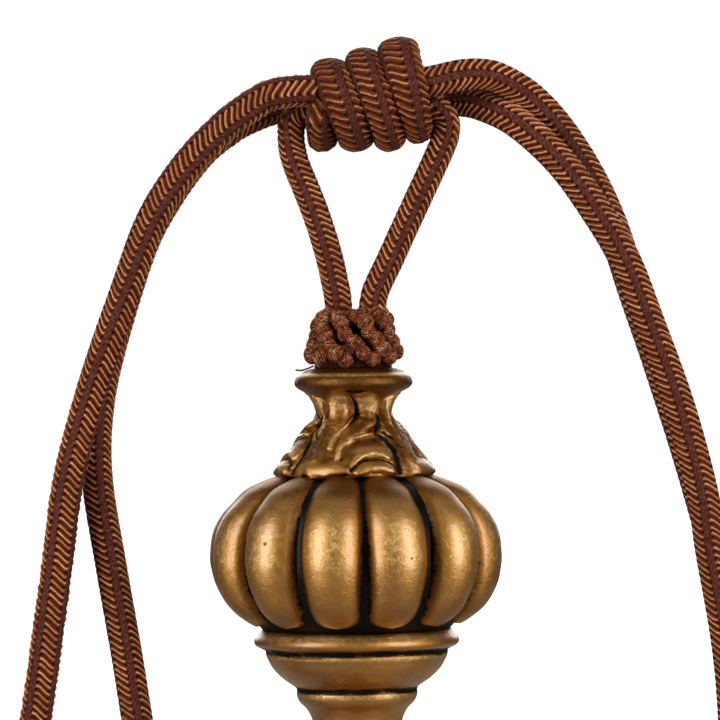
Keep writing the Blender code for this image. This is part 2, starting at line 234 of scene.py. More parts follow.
def ramp(tree, value, low, high, to_low=0.0, to_high=1.0):
    """The value's place between low and high, eased, from to_low to to_high."""
    names = ("Value", "From Min", "From Max", "To Min", "To Max")
    inputs = zip(names, (value, low, high, to_low, to_high))
    return add_node(tree, "ShaderNodeMapRange", inputs, interpolation_type="SMOOTHSTEP").outputs["Result"]


def wave(tree, turns):
    """A wave from 0 to 1, with its top at each whole turn."""
    swing = maths(tree, "COSINE", maths(tree, "MULTIPLY", turns, 2 * math.pi))
    return maths(tree, "MULTIPLY_ADD", swing, 0.5, 0.5)


def noise(tree, place, scale, detail, roughness=0.5):
    inputs = [("Vector", place), ("Scale", scale), ("Detail", detail), ("Roughness", roughness)]
    return add_node(tree, "ShaderNodeTexNoise", inputs).outputs[0]


def mixed(tree, share, first, second, most=None):
    """The first colour, turned into the second by the share. With most, the share is multiplied by it."""
    if most is not None:
        share = maths(tree, "MULTIPLY", share, most)
    inputs = [(0, share)]
    for number, colour in ((6, first), (7, second)):
        inputs.append((number, colour if isinstance(colour, bpy.types.NodeSocket) else (*colour[:3], 1.0)))
    return add_node(tree, "ShaderNodeMix", inputs, data_type="RGBA").outputs[2]


def new_group(name, inputs, outputs):
    """An empty shader node group, with its input and output nodes. Inputs are pairs of a name and a default,
    which is None for a vector. Outputs are the names of numbers."""
    group = bpy.data.node_groups.new(name, "ShaderNodeTree")
    for label, default in inputs:
        kind = "NodeSocketVector" if default is None else "NodeSocketFloat"
        socket = group.interface.new_socket(label, in_out="INPUT", socket_type=kind)
        if default is not None:
            socket.default_value = default
    for label in outputs:
        group.interface.new_socket(label, in_out="OUTPUT", socket_type="NodeSocketFloat")
    return group, group.nodes.new("NodeGroupInput"), group.nodes.new("NodeGroupOutput")


def group_outputs(tree, group, inputs):
    return tuple(add_node(tree, "ShaderNodeGroup", inputs, node_tree=group).outputs)


def new_material(name, roughness, metallic=0.0, **sockets):
    """A material, its node tree and its shader. Sockets are further inputs that are the same all over."""
    material = bpy.data.materials.new(name)
    material.use_nodes = True
    tree = material.node_tree
    shader = next(node for node in tree.nodes if node.type == "BSDF_PRINCIPLED")
    values = {"Roughness": roughness, "Metallic": metallic, **sockets}
    feed(tree, shader, [(label.replace("_", " "), value) for label, value in values.items()])
    return material, tree, shader


def object_place(tree):
    return add_node(tree, "ShaderNodeTexCoord").outputs["Object"]


def bump(tree, height, strength, distance):
    inputs = [("Height", height), ("Strength", strength), ("Distance", distance)]
    return add_node(tree, "ShaderNodeBump", inputs).outputs[0]


# ---------------------------------------------------------------- mesh helpers
def joined(name, shapes):
    """One mesh of several bmeshes, which are freed."""
    whole = bmesh.new()
    mesh = bpy.data.meshes.new(name)
    for shape in shapes:
        shape.to_mesh(mesh)
        whole.from_mesh(mesh)
        shape.free()
    whole.to_mesh(mesh)
    whole.free()
    return mesh


def finish_piece(name, shapes, material, replaces):
    """The piece's object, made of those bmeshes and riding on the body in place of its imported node."""
    mesh = joined(name, shapes)
    item = bpy.data.objects.new(name, mesh)
    bpy.context.scene.collection.objects.link(item)
    mesh.materials.append(material)
    mesh.shade_smooth()
    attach(item, "root")
    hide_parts(*replaces)
    return item


def placed_grid(rows, columns, place, uv_size=(1.0, 1.0), shade=None):
    """A grid of rows by columns, each vertex put where place(row share, column share) says, then welded
    and closed. Its UV map runs over uv_size, and its wax_and_light attribute, which carries wax, glaze and
    painted light, is what shade says."""
    shape = bmesh.new()
    shape.loops.layers.uv.new("UVMap")
    bmesh.ops.create_grid(shape, x_segments=rows, y_segments=columns, size=0.5, calc_uvs=True)
    mesh = bpy.data.meshes.new("grid")
    shape.to_mesh(mesh)
    flat = np.empty(len(mesh.vertices) * 3)
    mesh.vertices.foreach_get("co", flat)
    flat = flat.reshape(-1, 3) + 0.5
    mesh.vertices.foreach_set("co", place(flat[:, 0], flat[:, 1]).ravel())
    uvs = np.empty(len(mesh.loops) * 2)
    mesh.uv_layers[0].uv.foreach_get("vector", uvs)
    mesh.uv_layers[0].uv.foreach_set("vector", (uvs.reshape(-1, 2) * uv_size).ravel())
    if shade is not None:
        wax_and_light = mesh.attributes.new("wax_and_light", "FLOAT", "POINT")
        wax_and_light.data.foreach_set("value", np.asarray(shade(flat[:, 0], flat[:, 1]), np.float32))
    shape.clear()
    shape.from_mesh(mesh)
    bpy.data.meshes.remove(mesh)
    bmesh.ops.remove_doubles(shape, verts=shape.verts, dist=1e-6)
    bmesh.ops.holes_fill(shape, edges=shape.edges, sides=0)
    bmesh.ops.recalc_face_normals(shape, faces=shape.faces)
    return shape


def shifted_uvs(shape, u=0.0, v=0.0):
    """The shape, with its UV map moved by that much."""
    layer = shape.loops.layers.uv.verify()
    for face in shape.faces:
        for corner in face.loops:
            corner[layer].uv = corner[layer].uv.x + u, corner[layer].uv.y + v
    return shape


# ---------------------------------------------------------------- cords
def distances(route):
    """How far along the route each of its points is."""
    return np.concatenate([[0], np.cumsum(np.linalg.norm(np.diff(route, axis=0), axis=1))])


def resampled(rows, lengths, count):
    """The rows, which lie at those lengths, read at count even steps."""
    wanted = np.linspace(0, lengths[-1], count + 1)
    return np.column_stack([np.interp(wanted, lengths, rows[:, k]) for k in range(rows.shape[1])])


def stretches(rows):
    """For each stretch between two rows the row before it, its two ends and the row after it."""
    rows = np.vstack([2 * rows[0] - rows[1], rows, 2 * rows[-1] - rows[-2]])
    return zip(rows, rows[1:], rows[2:], rows[3:])


def smooth_route(points, spacing=0.25 * MM):
    """Points at an even spacing along a smooth curve through the route's own points, in metres."""
    points = np.array(points, float) * MM
    t = np.arange(24)[:, None] / 24
    fine = []
    for before, start, end, after in stretches(points):
        blend = 2 * start + (end - before) * t
        blend += (2 * before - 5 * start + 4 * end - after) * t**2
        blend += (3 * start - before - 3 * end + after) * t**3
        fine.append(blend / 2)
    fine = np.vstack([*fine, points[-1:]])
    lengths = distances(fine)
    return resampled(fine, lengths, max(2, round(lengths[-1] / spacing)))


def unit(vectors):
    return vectors / np.linalg.norm(vectors, axis=-1, keepdims=True)


def frames_along(route, facing):
    """For each point of the route the direction that faces out, and the one to its side."""
    tangent = unit(np.gradient(route, axis=0))
    facing = np.broadcast_to(facing, route.shape)
    normal = unit(facing - np.sum(facing * tangent, axis=1, keepdims=True) * tangent)
    return normal, np.cross(tangent, normal)


def length_of(route):
    return np.linalg.norm(np.diff(route, axis=0), axis=1).sum()


def along(table, wanted, length):
    """The table's rows, evenly spaced over the length, read at the wanted distances."""
    places = np.linspace(0, length, len(table))
    return np.column_stack([np.interp(wanted, places, table[:, k]) for k in range(table.shape[1])])


def cord_tube(route, facing, radius, settings, turn, widths=None):
    """The braided cord's surface along the route. Its rows follow the slanted ribs, its columns the bands.
    Radius is to the tops of the ribs. Turn gives the bands' angle in degrees at distances in mm.
    Widths, if given, stretches the section sideways along the route."""
    length = length_of(route)
    ribs = round(length / settings.rib_pitch)
    normal, side = frames_along(route, facing)
    edge = DARK_SHARE / 2
    reach = radius * math.pi / BANDS * (1 - DARK_SHARE) / math.tan(settings.rib_slant)
    if widths is None:
        widths = np.ones(len(route))
    turn_at, turns = np.array(turn, float).T
    uneven = np.random.default_rng(len(route)).uniform(-1, 1, (2, ribs + 1, BANDS + 1))

    def place(row, column):
        band = column * BANDS
        which_rib = np.floor(row * ribs + 1e-6).astype(int)
        which_band = np.floor(band + 1e-6).astype(int) % BANDS
        loose, full = uneven[:, which_rib, which_band]
        cell = (band % 1) * BAND_COLUMNS
        within = np.interp(cell, (0, DARK_COLUMNS, BAND_COLUMNS), (-edge, edge, 1 - edge))
        taper = np.clip(np.minimum(row, 1 - row) * length / (HIDDEN_TAPER * MM), 0, 1)
        straight = np.interp(within, (-edge, edge, 1 - edge), (-1, 1, -1))
        hooked = np.sin(straight * math.pi / 2)
        crest = 1 - np.abs(2 * (row * ribs % 1) - 1)
        s = row * length + reach * taper * (straight + hooked) / 2
        s = np.clip(s + RIB_SHIFT * loose * crest * settings.rib_pitch, 0, length)
        share = s / length
        angle = (np.floor(band + 1e-9) + within) * 2 * math.pi / BANDS
        angle = angle + np.radians(np.interp(s / MM, turn_at, turns))
        dark = DARK_HEIGHT[0] + DARK_HEIGHT[1] * crest
        copper = crest**RIB_SHARPNESS * (1 - RIB_LOSS * np.maximum(full, 0))
        height = np.where((cell <= DARK_COLUMNS) | (cell == BAND_COLUMNS), dark, copper)
        out = radius - settings.rib_height * (1 - height)
        centre = along(route, s, length)
        n, b = along(normal, s, length), along(side, s, length)
        wide = np.interp(share, np.linspace(0, 1, len(widths)), widths)
        return centre + n * (np.cos(angle) * out)[:, None] + b * (np.sin(angle) * out * wide)[:, None]

    return placed_grid(ribs * ROWS_PER_RIB, BANDS * BAND_COLUMNS, place, uv_size=(ribs, BANDS))


def build_weave_group():
    """Ribs and bands of the braided cord, read from its UV map: u counts ribs and v counts bands."""
    names = ("Copper", "Rib", "Ply", "Stitch", "Hole", "Vary")
    group, source, result = new_group("cord_weave", [("UV", None), ("Uneven", 0.5)], names)
    uneven = maths(group, "SUBTRACT", source.outputs["Uneven"], 0.5)
    parts = add_node(group, "ShaderNodeSeparateXYZ", [(0, source.outputs["UV"])])
    u, v = parts.outputs[0], parts.outputs[1]
    off = maths(group, "ABSOLUTE", maths(group, "SUBTRACT", maths(group, "FRACT", u), 0.5))
    crest = maths(group, "MULTIPLY_ADD", uneven, 0.5, maths(group, "MULTIPLY_ADD", off, -2.0, 1.0))
    band = maths(group, "FRACT", v)
    dark_share = DARK_COLUMNS / BAND_COLUMNS
    middle, half = (1 + dark_share) / 2, (1 - dark_share) / 2
    off = maths(group, "ABSOLUTE", maths(group, "SUBTRACT", band, middle))
    reach = maths(group, "MULTIPLY_ADD", crest, half * 0.46, half * 0.71)
    copper = ramp(group, maths(group, "SUBTRACT", reach, off), -0.02, 0.03)
    # a dark band is a chain of V stitches, with a hole between each pair of ribs at its edges; the hollows
    # between stitches and the holes get painted shade
    across = maths(group, "ABSOLUTE", maths(group, "MULTIPLY_ADD", band, 2 / dark_share, -1.0))
    phase = maths(group, "MULTIPLY_ADD", across, 0.36, maths(group, "MULTIPLY_ADD", uneven, 0.6, u))
    stitch = wave(group, phase)
    hole = maths(group, "MULTIPLY", ramp(group, crest, 0.55, 0.15), ramp(group, across, 0.45, 0.85))
    whole = [(number, maths(group, "FLOOR", value)) for number, value in enumerate((u, v))]
    inputs = [("Vector", add_node(group, "ShaderNodeCombineXYZ", whole).outputs[0])]
    vary = add_node(group, "ShaderNodeTexWhiteNoise", inputs, noise_dimensions="2D").outputs["Value"]
    ply = maths(group, "SINE", maths(group, "MULTIPLY", u, 2 * math.pi * PLY_COUNT))
    feed(group, result, enumerate((copper, crest, ply, stitch, hole, vary)))
    return group


def cord_material(name, settings, painted_shade, lit):
    """The braided cord, dimmed at random towards DIM, plus the painted_shade share of it, which darkens the
    knot as painted shade. Lit is the height of a rib from which its copper top, a painted highlight, shows.
    """
    weave = bpy.data.node_groups.get("cord_weave") or build_weave_group()
    material, tree, shader = new_material(name, 0.42, Specular_IOR_Level=0.09, Specular_Tint=YARN_GLOSS)
    uv = add_node(tree, "ShaderNodeUVMap", uv_map="UVMap").outputs[0]
    place = object_place(tree)
    fuzz, speck, slow = (noise(tree, place, *kind) for kind in ((1300.0, 3.0), (1500.0, 3.0), (60.0, 2.0)))
    copper, crest, ply, stitch, hole, vary = group_outputs(tree, weave, [("UV", uv), ("Uneven", fuzz)])
    # painted shade and highlight: a rib runs from the dark valley colour through its rust flank to a copper
    # top, lighter towards its crest; ply lines are darkened towards rust
    flank = mixed(tree, ramp(tree, crest, 0.08, 0.60), VALLEY_SHADE, settings.rust)
    other = maths(tree, "FRACT", maths(tree, "MULTIPLY", vary, 7.3))
    thread = mixed(tree, other, settings.copper, OLD_THREAD, 0.45)
    top = mixed(tree, ramp(tree, crest, lit, 0.5 + lit * 0.75), flank, thread)
    top = mixed(tree, ramp(tree, ply, -0.2, -1.0), top, settings.rust, 0.25)
    top = mixed(tree, vary, top, flank, 0.6)
    # painted shade: the dark band darkens to the valley colour between its stitches and is black in its holes
    dark = mixed(tree, ramp(tree, stitch, 0.0, 0.9, 0.45, 1.0), VALLEY_SHADE, settings.maroon)
    dark = mixed(tree, ramp(tree, fuzz, 0.52, 0.40), dark, VALLEY_SHADE, 0.6)
    dark = mixed(tree, ramp(tree, speck, 0.48, 0.66), dark, STITCH_LIGHT, 0.55)
    dark = mixed(tree, hole, dark, STITCH_HOLE_SHADE)
    base = mixed(tree, copper, dark, top)
    base = mixed(tree, ramp(tree, slow, 0.35, 0.65, painted_shade, painted_shade + 0.2), base, DIM)
    rough = maths(tree, "MULTIPLY_ADD", fuzz, 0.22, maths(tree, "MULTIPLY_ADD", copper, -0.16, 0.46))
    woven = maths(tree, "MULTIPLY", stitch, maths(tree, "SUBTRACT", 1.0, copper))
    height = maths(tree, "MULTIPLY_ADD", maths(tree, "MULTIPLY", ply, copper), 0.25, woven)
    height = maths(tree, "MULTIPLY_ADD", fuzz, 1.2, height)
    surface = bump(tree, height, 0.6, 0.00012)
    feed(tree, shader, [("Base Color", base), ("Roughness", rough), ("Normal", surface)])
    return material


class TASSEL_OT_cords(bpy.types.Operator):
    """Make the two hanging loops and the two short legs of braided cord"""

    bl_idname = "tassel.cords"
    bl_label = "Cords"

    def execute(self, context):
        settings = context.scene.tassel_cord
        material = cord_material("braided_cord", settings, painted_shade=0.0, lit=0.58)
        for node, points, diameter, leaves, length, turn in CORDS:
            route = smooth_route(points)
            radius = diameter * MM / 2
            braid = cord_tube(route, FRONT, radius, settings, turn)
            piece = finish_piece(node + "_braid", [braid], material, [node])
        return {"FINISHED"}


def winding_line():
    """The winding's route in mm and its half width at each point. It goes down in front of the knot and up
    behind it."""
    route, widths = list(WINDING_START), [WINDING[0][2]] * len(WINDING_START)
    for start, end in zip(WINDING, WINDING[1:]):
        side = 1 if end[1] > start[1] else -1
        for step in range(WINDING_STEPS):
            turn = math.pi * step / WINDING_STEPS
            share = (1 - math.cos(turn)) / 2
            x, z, wide = (a + (b - a) * share for a, b in zip(start, end))
            route.append((x, side * WINDING_DEPTH * math.sin(turn), z))
            widths.append(wide)
    route.append((WINDING[-1][0], 0.0, WINDING[-1][1]))
    widths += [WINDING[-1][2]] * (1 + len(WINDING_END))
    return route + WINDING_END, widths


class TASSEL_OT_knot(bpy.types.Operator):
    """Make the wound knot that joins the loops and the legs"""

    bl_idname = "tassel.knot"
    bl_label = "Knot"

    def execute(self, context):
        settings = context.scene.tassel_cord
        points, widths = winding_line()
        route = smooth_route(points)
        start, end = (np.array(point) * MM for point in CORE_LINE)
        line = end - start
        share = np.clip((route - start) @ line / (line @ line), 0, 1)
        facing = unit(route - (start + share[:, None] * line))
        wide = np.interp(np.linspace(0, 1, WIDTH_STEPS), np.linspace(0, 1, len(widths)), widths)
        wide /= WINDING_HALF_THICKNESS
        turn = ((0, WINDING_TURN), (1, WINDING_TURN))
        winding = cord_tube(route, facing, WINDING_HALF_THICKNESS * MM, settings, turn, wide)
        core = bmesh.new()
        core.loops.layers.uv.new("UVMap")
        bmesh.ops.create_uvsphere(core, u_segments=32, v_segments=20, radius=CORE_RADIUS * MM, calc_uvs=True)
        bmesh.ops.scale(core, vec=CORE_STRETCH, verts=core.verts)
        tilt = Vector(line).rotation_difference(Vector((1, 0, 0))).inverted().to_matrix()
        bmesh.ops.rotate(core, cent=(0, 0, 0), matrix=tilt, verts=core.verts)
        bmesh.ops.translate(core, vec=Vector((start + end) / 2), verts=core.verts)
        # painted shade: the knot's copy of the cord is darker, and the painted highlights on its ribs are
        # narrower
        material = cord_material("knot_cord", settings, painted_shade=0.22, lit=0.70)
        finish_piece("knot_winding", [winding, core], material, ["knot"])
        return {"FINISHED"}


# ---------------------------------------------------------------- the turned axis
TASSEL_TOP = Vector((-0.9, 0.0, -68.0)) * MM  # middle of the collar's top
TASSEL_LEAN = math.radians(-0.72)

# Outlines of the gilt head: drop under the collar's top and radius, in mm.
NECK = [
    (12.6, 8.6), (13.9, 9.3), (14.9, 9.4), (15.2, 10.8), (15.7, 12.1), (16.5, 13.5), (17.4, 14.35),
    (18.3, 14.75), (19.2, 14.65), (20.1, 13.8), (21.0, 12.3), (21.9, 10.9), (22.8, 9.9), (23.7, 9.0),
    (24.6, 8.4), (25.5, 8.1), (26.4, 8.1), (27.2, 8.5), (28.1, 9.2), (29.4, 10.4), (31.2, 12.1),
    (33.4, 13.9), (36.2, 16.2), (39.6, 18.6), (41.6, 19.5), (42.4, 18.6), (42.6, 15.0),
]
BOWL = [
    (78.4, 18.0), (79.6, 22.6), (80.4, 23.7), (81.4, 24.6), (82.6, 25.5), (83.9, 25.3), (84.9, 23.6),
    (85.4, 22.8), (86.4, 22.7), (87.5, 22.3), (90.0, 20.9), (92.4, 18.5), (94.2, 15.9), (95.0, 15.1),
    (96.4, 15.1), (98.2, 14.4), (100.2, 12.5), (103.0, 11.2), (107.0, 10.6), (111.0, 11.2),
    (113.0, 13.0), (115.2, 13.4), (116.6, 12.6), (119.0, 15.4), (123.0, 19.4), (127.5, 21.9),
    (131.0, 22.8), (133.2, 22.8), (134.0, 22.0), (134.0, 18.0),
]
BOWL_ROWS = 200
BOWL_COLUMNS = 160
LOBES = 12
LOBE_TURN = math.radians(4.4)  # turn of the first groove from the front
LOBE_RISE = 6.6  # mm from the middle of a lobe's section to its crest
LOBE_ROWS = 56
LOBE_COLUMNS = 30
# Crest line of a lobe: drop, radius (mm) and half the angle it takes (degrees).
LOBE_LINE = [
    (41.2, 17.6, 5.0), (41.8, 19.8, 8.8), (42.9, 23.0, 11.0), (45.0, 27.6, 12.1), (48.0, 31.0, 12.5),
    (51.5, 34.1, 12.6), (56.0, 36.2, 12.5), (62.0, 37.0, 12.2), (66.0, 36.5, 12.0), (69.0, 35.7, 11.6),
    (72.8, 33.7, 11.7), (75.4, 31.5, 11.4), (77.2, 29.2, 10.9), (78.4, 27.4, 10.2), (78.9, 26.4, 9.4),
]
# How far each lobe's top leans round from an even spacing, in degrees.
LOBE_LEAN = (-0.2, 3.0, 1.6, -0.7, 0.9, -0.5, 0.4, -0.8, 0.7, 0.3, -0.9, 0.1)
MELON_CORE = [
    (41.4, 14.0), (42.8, 19.4), (45.0, 24.0), (48.0, 27.2), (52.0, 29.8), (57.0, 31.6), (62.0, 32.0),
    (67.0, 31.4), (72.0, 29.6), (76.0, 27.0), (79.0, 24.4), (80.6, 22.6), (80.8, 18.0),
]


def on_tassel(drop, radius, angle):
    """Points on the tassel's leaning axis: drop and radius in metres, angle from the front towards +X."""
    x, y, z = radius * np.sin(angle), -radius * np.cos(angle), -drop
    c, s = math.cos(TASSEL_LEAN), math.sin(TASSEL_LEAN)
    turned = np.column_stack([c * x + s * z, y + 0 * x, -s * x + c * z])
    return turned + np.array(TASSEL_TOP)


def tassel_route(drop, radius, angle):
    """A route on the tassel, from drops and radii in mm, and at each of its points the way out."""
    route = on_tassel(drop * MM, radius * MM, angle)
    return route, route - on_tassel(drop * MM, 0 * angle, angle)


def smooth_table(table, count):
    """A smooth curve through the table's rows, at an even spacing of its first two columns."""
    rows = np.array(table, float)
    t = np.arange(12)[:, None] / 12
    fine = []
    for before, start, end, after in stretches(rows):
        # the tangents are held back where the rows turn sharply, so that the curve doesn't swing out
        into, out = (end - before) / 2, (after - start) / 2
        limit = 1.2 * np.linalg.norm((end - start)[:2])
        into *= min(1, limit / max(np.linalg.norm(into[:2]), 1e-9))
        out *= min(1, limit / max(np.linalg.norm(out[:2]), 1e-9))
        fine.append((2 * t**3 - 3 * t**2 + 1) * start + (t**3 - 2 * t**2 + t) * into
                    + (3 * t**2 - 2 * t**3) * end + (t**3 - t**2) * out)
    fine = np.vstack([*fine, rows[-1:]])
    return resampled(fine, distances(fine[:, :2]), count)


def blurred(field, reach, times=2):
    """The field's mean over that many rows and columns each way. Columns go round, rows stop at the ends."""
    for _ in range(times):
        wide = np.concatenate([field[:, -reach:], field, field[:, :reach]], axis=1)
        total = np.cumsum(np.concatenate([np.zeros((len(field), 1)), wide], axis=1), axis=1)
        field = (total[:, 2 * reach + 1:] - total[:, :-2 * reach - 1]) / (2 * reach + 1)
        tall = np.concatenate([np.repeat(field[:1], reach, 0), field, np.repeat(field[-1:], reach, 0)])
        total = np.cumsum(np.concatenate([np.zeros((1, field.shape[1])), tall]), axis=0)
        field = (total[2 * reach + 1:] - total[:-2 * reach - 1]) / (2 * reach + 1)
    return field


def eased(value, low, high):
    t = np.clip((value - low) / (high - low), 0, 1)
    return t * t * (3 - 2 * t)


def turned_grid(line, columns, relief=None, wax_and_light=None, sink=None):
    """A turned surface of the outline (rows of drop and radius in mm). Relief, wax_and_light and sink are
    arrays
    of rows by columns: mm outwards, the finish and painted light there, and mm down. With sink, the relief
    stands out level."""
    rows = len(line) - 1
    drops, radii = line[:, 0] * MM, line[:, 1] * MM
    tangent = np.gradient(line[:, :2], axis=0)
    tangent /= np.linalg.norm(tangent, axis=1, keepdims=True)
    if sink is not None:
        drops = drops[:, None] + sink * MM
        tangent = np.array([[1.0, 0.0]]).repeat(rows + 1, axis=0)

    def place(row, column):
        i = np.rint(row * rows).astype(int)
        j = np.rint(column * columns).astype(int) % columns
        push = 0.0 if relief is None else relief[i, j] * MM
        drop = drops[i] if sink is None else drops[i, j]
        drop, radius = drop - push * tangent[i, 1], radii[i] + push * tangent[i, 0]
        return on_tassel(drop, radius, j * 2 * math.pi / columns)

    def shade(row, column):
        i = np.rint(row * rows).astype(int)
        return wax_and_light[i, np.rint(column * columns).astype(int) % columns]

    return placed_grid(rows, columns, place, shade=None if wax_and_light is None else shade)


# ---------------------------------------------------------------- the gilt head
# The head's finish is a number at each vertex, called wax_and_light. 1 is black wax, GLAZED is a full brown
# glaze, DEEP_GLAZE a darker one, 0 is bare gold, and below 0 the gold is brighter: painted highlights, partly
# rubbed wear. On the lobes the glaze also lays painted shade.
GLAZED = 0.25
DEEP_GLAZE = 0.33
DEEP_BROWN = (0.07, 0.026, 0.005)  # what the deep glaze adds
GRAIN_BROWN = (0.16, 0.07, 0.02)  # specks of glaze in the grain
# Pits of the casting, small and large: how many a metre, how far from its middle a pit starts and is deep in
# shares of its cell, then the scale of the patches that have pits, and where in their noise one starts and
# is full.
PITS = ((210.0, 0.13, 0.04, 120.0, 0.56, 0.60), (95.0, 0.08, 0.03, 50.0, 0.52, 0.56))
# Drops in mm between which one finish gives way to the next.
NECK_COVERED = (14.9, 15.3)  # deep glaze above this, under the collar
NECK_FOOT = (41.7, 42.3)  # wax below this
BOWL_TOP = (79.6, 80.8)  # wax above this
CAP_FOOT = (133.0, 133.6)  # wax below this
RIM_HIGHLIGHT = (16.6, 0.34)  # painted highlight along the rim: drop and half width
BOWL_SEAMS = ((85.4, 0.7), (95.1, 0.65), (112.0, 0.6), (116.7, 0.6))  # waxed seams: drop and half width
BOWL_SHOULDER_HIGHLIGHTS = ((81.6, 0.5), (86.4, 0.6), (96.0, 0.9))  # painted highlights on the shoulders: drop and half width
# A lobe's finish, by drop in mm, or by degrees round its section from the crest.
LOBE_TOP_SHADE = (44.0, 54.0, 0.8)  # painted shade: the glaze colour darkens its top, thinning out between these, from this share
LOBE_FOOT_SHADE = (66.0, 77.0, 0.4)  # painted shade at its foot, coming back between these, to this share
LOBE_SIDE_DARKER = (40, 70, 0.12)  # degrees where its side starts to grow darker and is full, and its share
LOBE_SIDE_WAX = (40, 114)  # degrees where the side's wax starts and is full
LOBE_RUBBED_HIGHLIGHT = ((45.0, 55.0), (60.0, 72.0), (22, 68), 0.42)  # painted highlight, partly rubbed wear: where it starts, ends and narrows; how bright

CALYX_GROUPS = 4  # the leaf group repeats this many times round the neck
CALYX_START = -43.0  # degrees from the front to the left edge of the front group
HELD_WAX = (1.0, 0.6, 0.9, 0.6)  # width of the wax left in the clefts of each group, from the front on
CALYX_ROWS = 176
CALYX_COLUMNS = 352
CARVING_STRAY = 0.6  # mm that the carving's lines stray, before the noise is smoothed
HOLLOW_WAX = (0.15, 0.55, 0.45)  # depth in mm of a hollow that starts to hold wax and of a full one; how much
EDGE_SHINE = (0.06, 0.35, 0.3)  # rubbed wear and painted highlight on raised edges: height in mm of an edge where it starts and is full; how much
# The carving of one leaf group. Each line has rows of mm across from the group's middle, mm under the
# collar's top, half width and height. Leaves are domed, rims are thin rounded edges with a painted
# highlight, clefts are dark.
LEAVES = [
    # the tall leaf, from its tip down to the foot on the left
    [(-3.6, 21.5, 1.0, 0.5), (-3.7, 22.7, 2.4, 1.2), (-3.9, 24.4, 3.1, 2.1), (-4.3, 26.4, 3.4, 2.5),
     (-5.0, 28.2, 3.3, 2.0), (-6.4, 30.4, 3.2, 1.3), (-8.6, 34.0, 3.0, 1.0), (-10.9, 37.7, 3.2, 1.0),
     (-12.3, 40.7, 3.4, 1.1)],
    # the short leaf behind it
    [(2.9, 22.0, 2.0, 0.7), (3.2, 23.6, 3.1, 1.7), (3.7, 25.4, 3.2, 2.2), (4.6, 27.2, 2.7, 1.8)],
    # the broad petal under both
    [(4.6, 28.2, 1.2, 1.7), (2.4, 28.9, 2.2, 2.0), (-0.7, 30.7, 2.6, 1.6), (-2.7, 33.0, 2.2, 1.0),
     (-4.2, 36.0, 1.6, 0.5)],
    # the curl under the petal, and the fan at the foot
    [(-1.4, 38.2, 1.6, 0.7), (0.4, 36.0, 2.2, 0.9), (3.2, 34.8, 2.4, 1.05), (6.2, 35.0, 2.2, 1.0),
     (8.4, 36.4, 1.6, 0.8)],
    [(1.0, 40.6, 1.2, 1.2), (3.2, 39.5, 1.7, 1.4), (6.2, 39.3, 1.8, 1.4), (9.1, 40.3, 1.3, 1.2)],
    # the thick foot on the left
    [(-14.0, 39.8, 1.9, 1.0), (-9.0, 39.6, 2.2, 1.25), (-4.5, 39.5, 2.1, 1.3), (-1.2, 40.2, 1.3, 1.1)],
]
RIMS = [
    [(-0.2, 27.4, 0.25, 1.4), (-1.1, 28.5, 0.35, 1.8), (-2.4, 29.7, 0.4, 1.7), (-4.0, 31.4, 0.4, 1.35),
     (-5.2, 33.2, 0.35, 1.05), (-5.9, 34.8, 0.3, 0.8)],
    [(-4.6, 38.4, 0.3, 0.8), (-4.2, 36.4, 0.4, 1.15), (-3.1, 34.2, 0.45, 1.35), (-0.7, 32.5, 0.45, 1.5),
     (2.2, 31.7, 0.45, 1.5), (4.5, 31.3, 0.35, 1.3)],
    [(-0.2, 38.9, 0.5, 1.0), (1.2, 37.1, 0.7, 1.25), (3.5, 36.0, 0.8, 1.35), (6.2, 36.1, 0.8, 1.35),
     (8.4, 37.2, 0.6, 1.1)],
    [(5.9, 28.0, 0.4, 1.0), (7.7, 29.5, 0.6, 1.6), (9.4, 31.0, 0.6, 1.6), (11.9, 32.3, 0.4, 1.2)],
]
CLEFTS = [
    # half width, and how dark (1 is black)
    [(-1.1, 21.5, 0.15, 0.6), (0.0, 22.8, 0.22, 0.9), (0.5, 24.6, 0.32, 1.0), (0.6, 26.4, 0.42, 1.0),
     (0.1, 27.6, 0.34, 1.0), (-1.0, 28.9, 0.2, 0.7), (-2.6, 30.6, 0.12, 0.4)],
    [(-1.6, 20.7, 0.2, 0.8), (0.4, 21.1, 0.35, 1.0), (2.2, 20.8, 0.25, 0.9), (3.8, 20.6, 0.15, 0.6)],
    [(0.6, 26.9, 0.3, 0.9), (2.2, 26.5, 0.12, 0.5), (4.4, 26.9, 0.12, 0.5)],
    [(5.0, 26.8, 0.3, 0.8), (5.6, 28.3, 0.5, 1.0), (5.8, 30.0, 0.5, 1.0), (5.5, 31.4, 0.25, 0.8)],
    [(6.2, 31.6, 0.25, 0.8), (7.9, 33.2, 0.45, 1.0), (9.4, 35.0, 0.55, 1.0), (10.6, 37.4, 0.5, 1.0),
     (11.4, 41.0, 0.5, 1.0)],
    [(7.2, 30.9, 0.25, 0.8), (9.1, 32.3, 0.3, 0.9), (10.6, 33.1, 0.15, 0.7)],
    [(-0.8, 40.2, 0.35, 1.0), (0.5, 38.9, 0.3, 1.0), (2.5, 37.9, 0.22, 0.9), (5.7, 37.6, 0.2, 0.7),
     (8.6, 38.6, 0.22, 0.8), (10.2, 40.2, 0.3, 1.0)],
    [(-12.8, 31.0, 0.25, 0.8), (-12.2, 33.5, 0.3, 0.9), (-12.0, 35.8, 0.15, 0.7)],
    [(-12.6, 41.6, 0.3, 0.9), (-8.8, 41.2, 0.1, 0.3), (-4.4, 41.4, 0.2, 0.8), (-1.8, 41.3, 0.3, 1.0)],
]
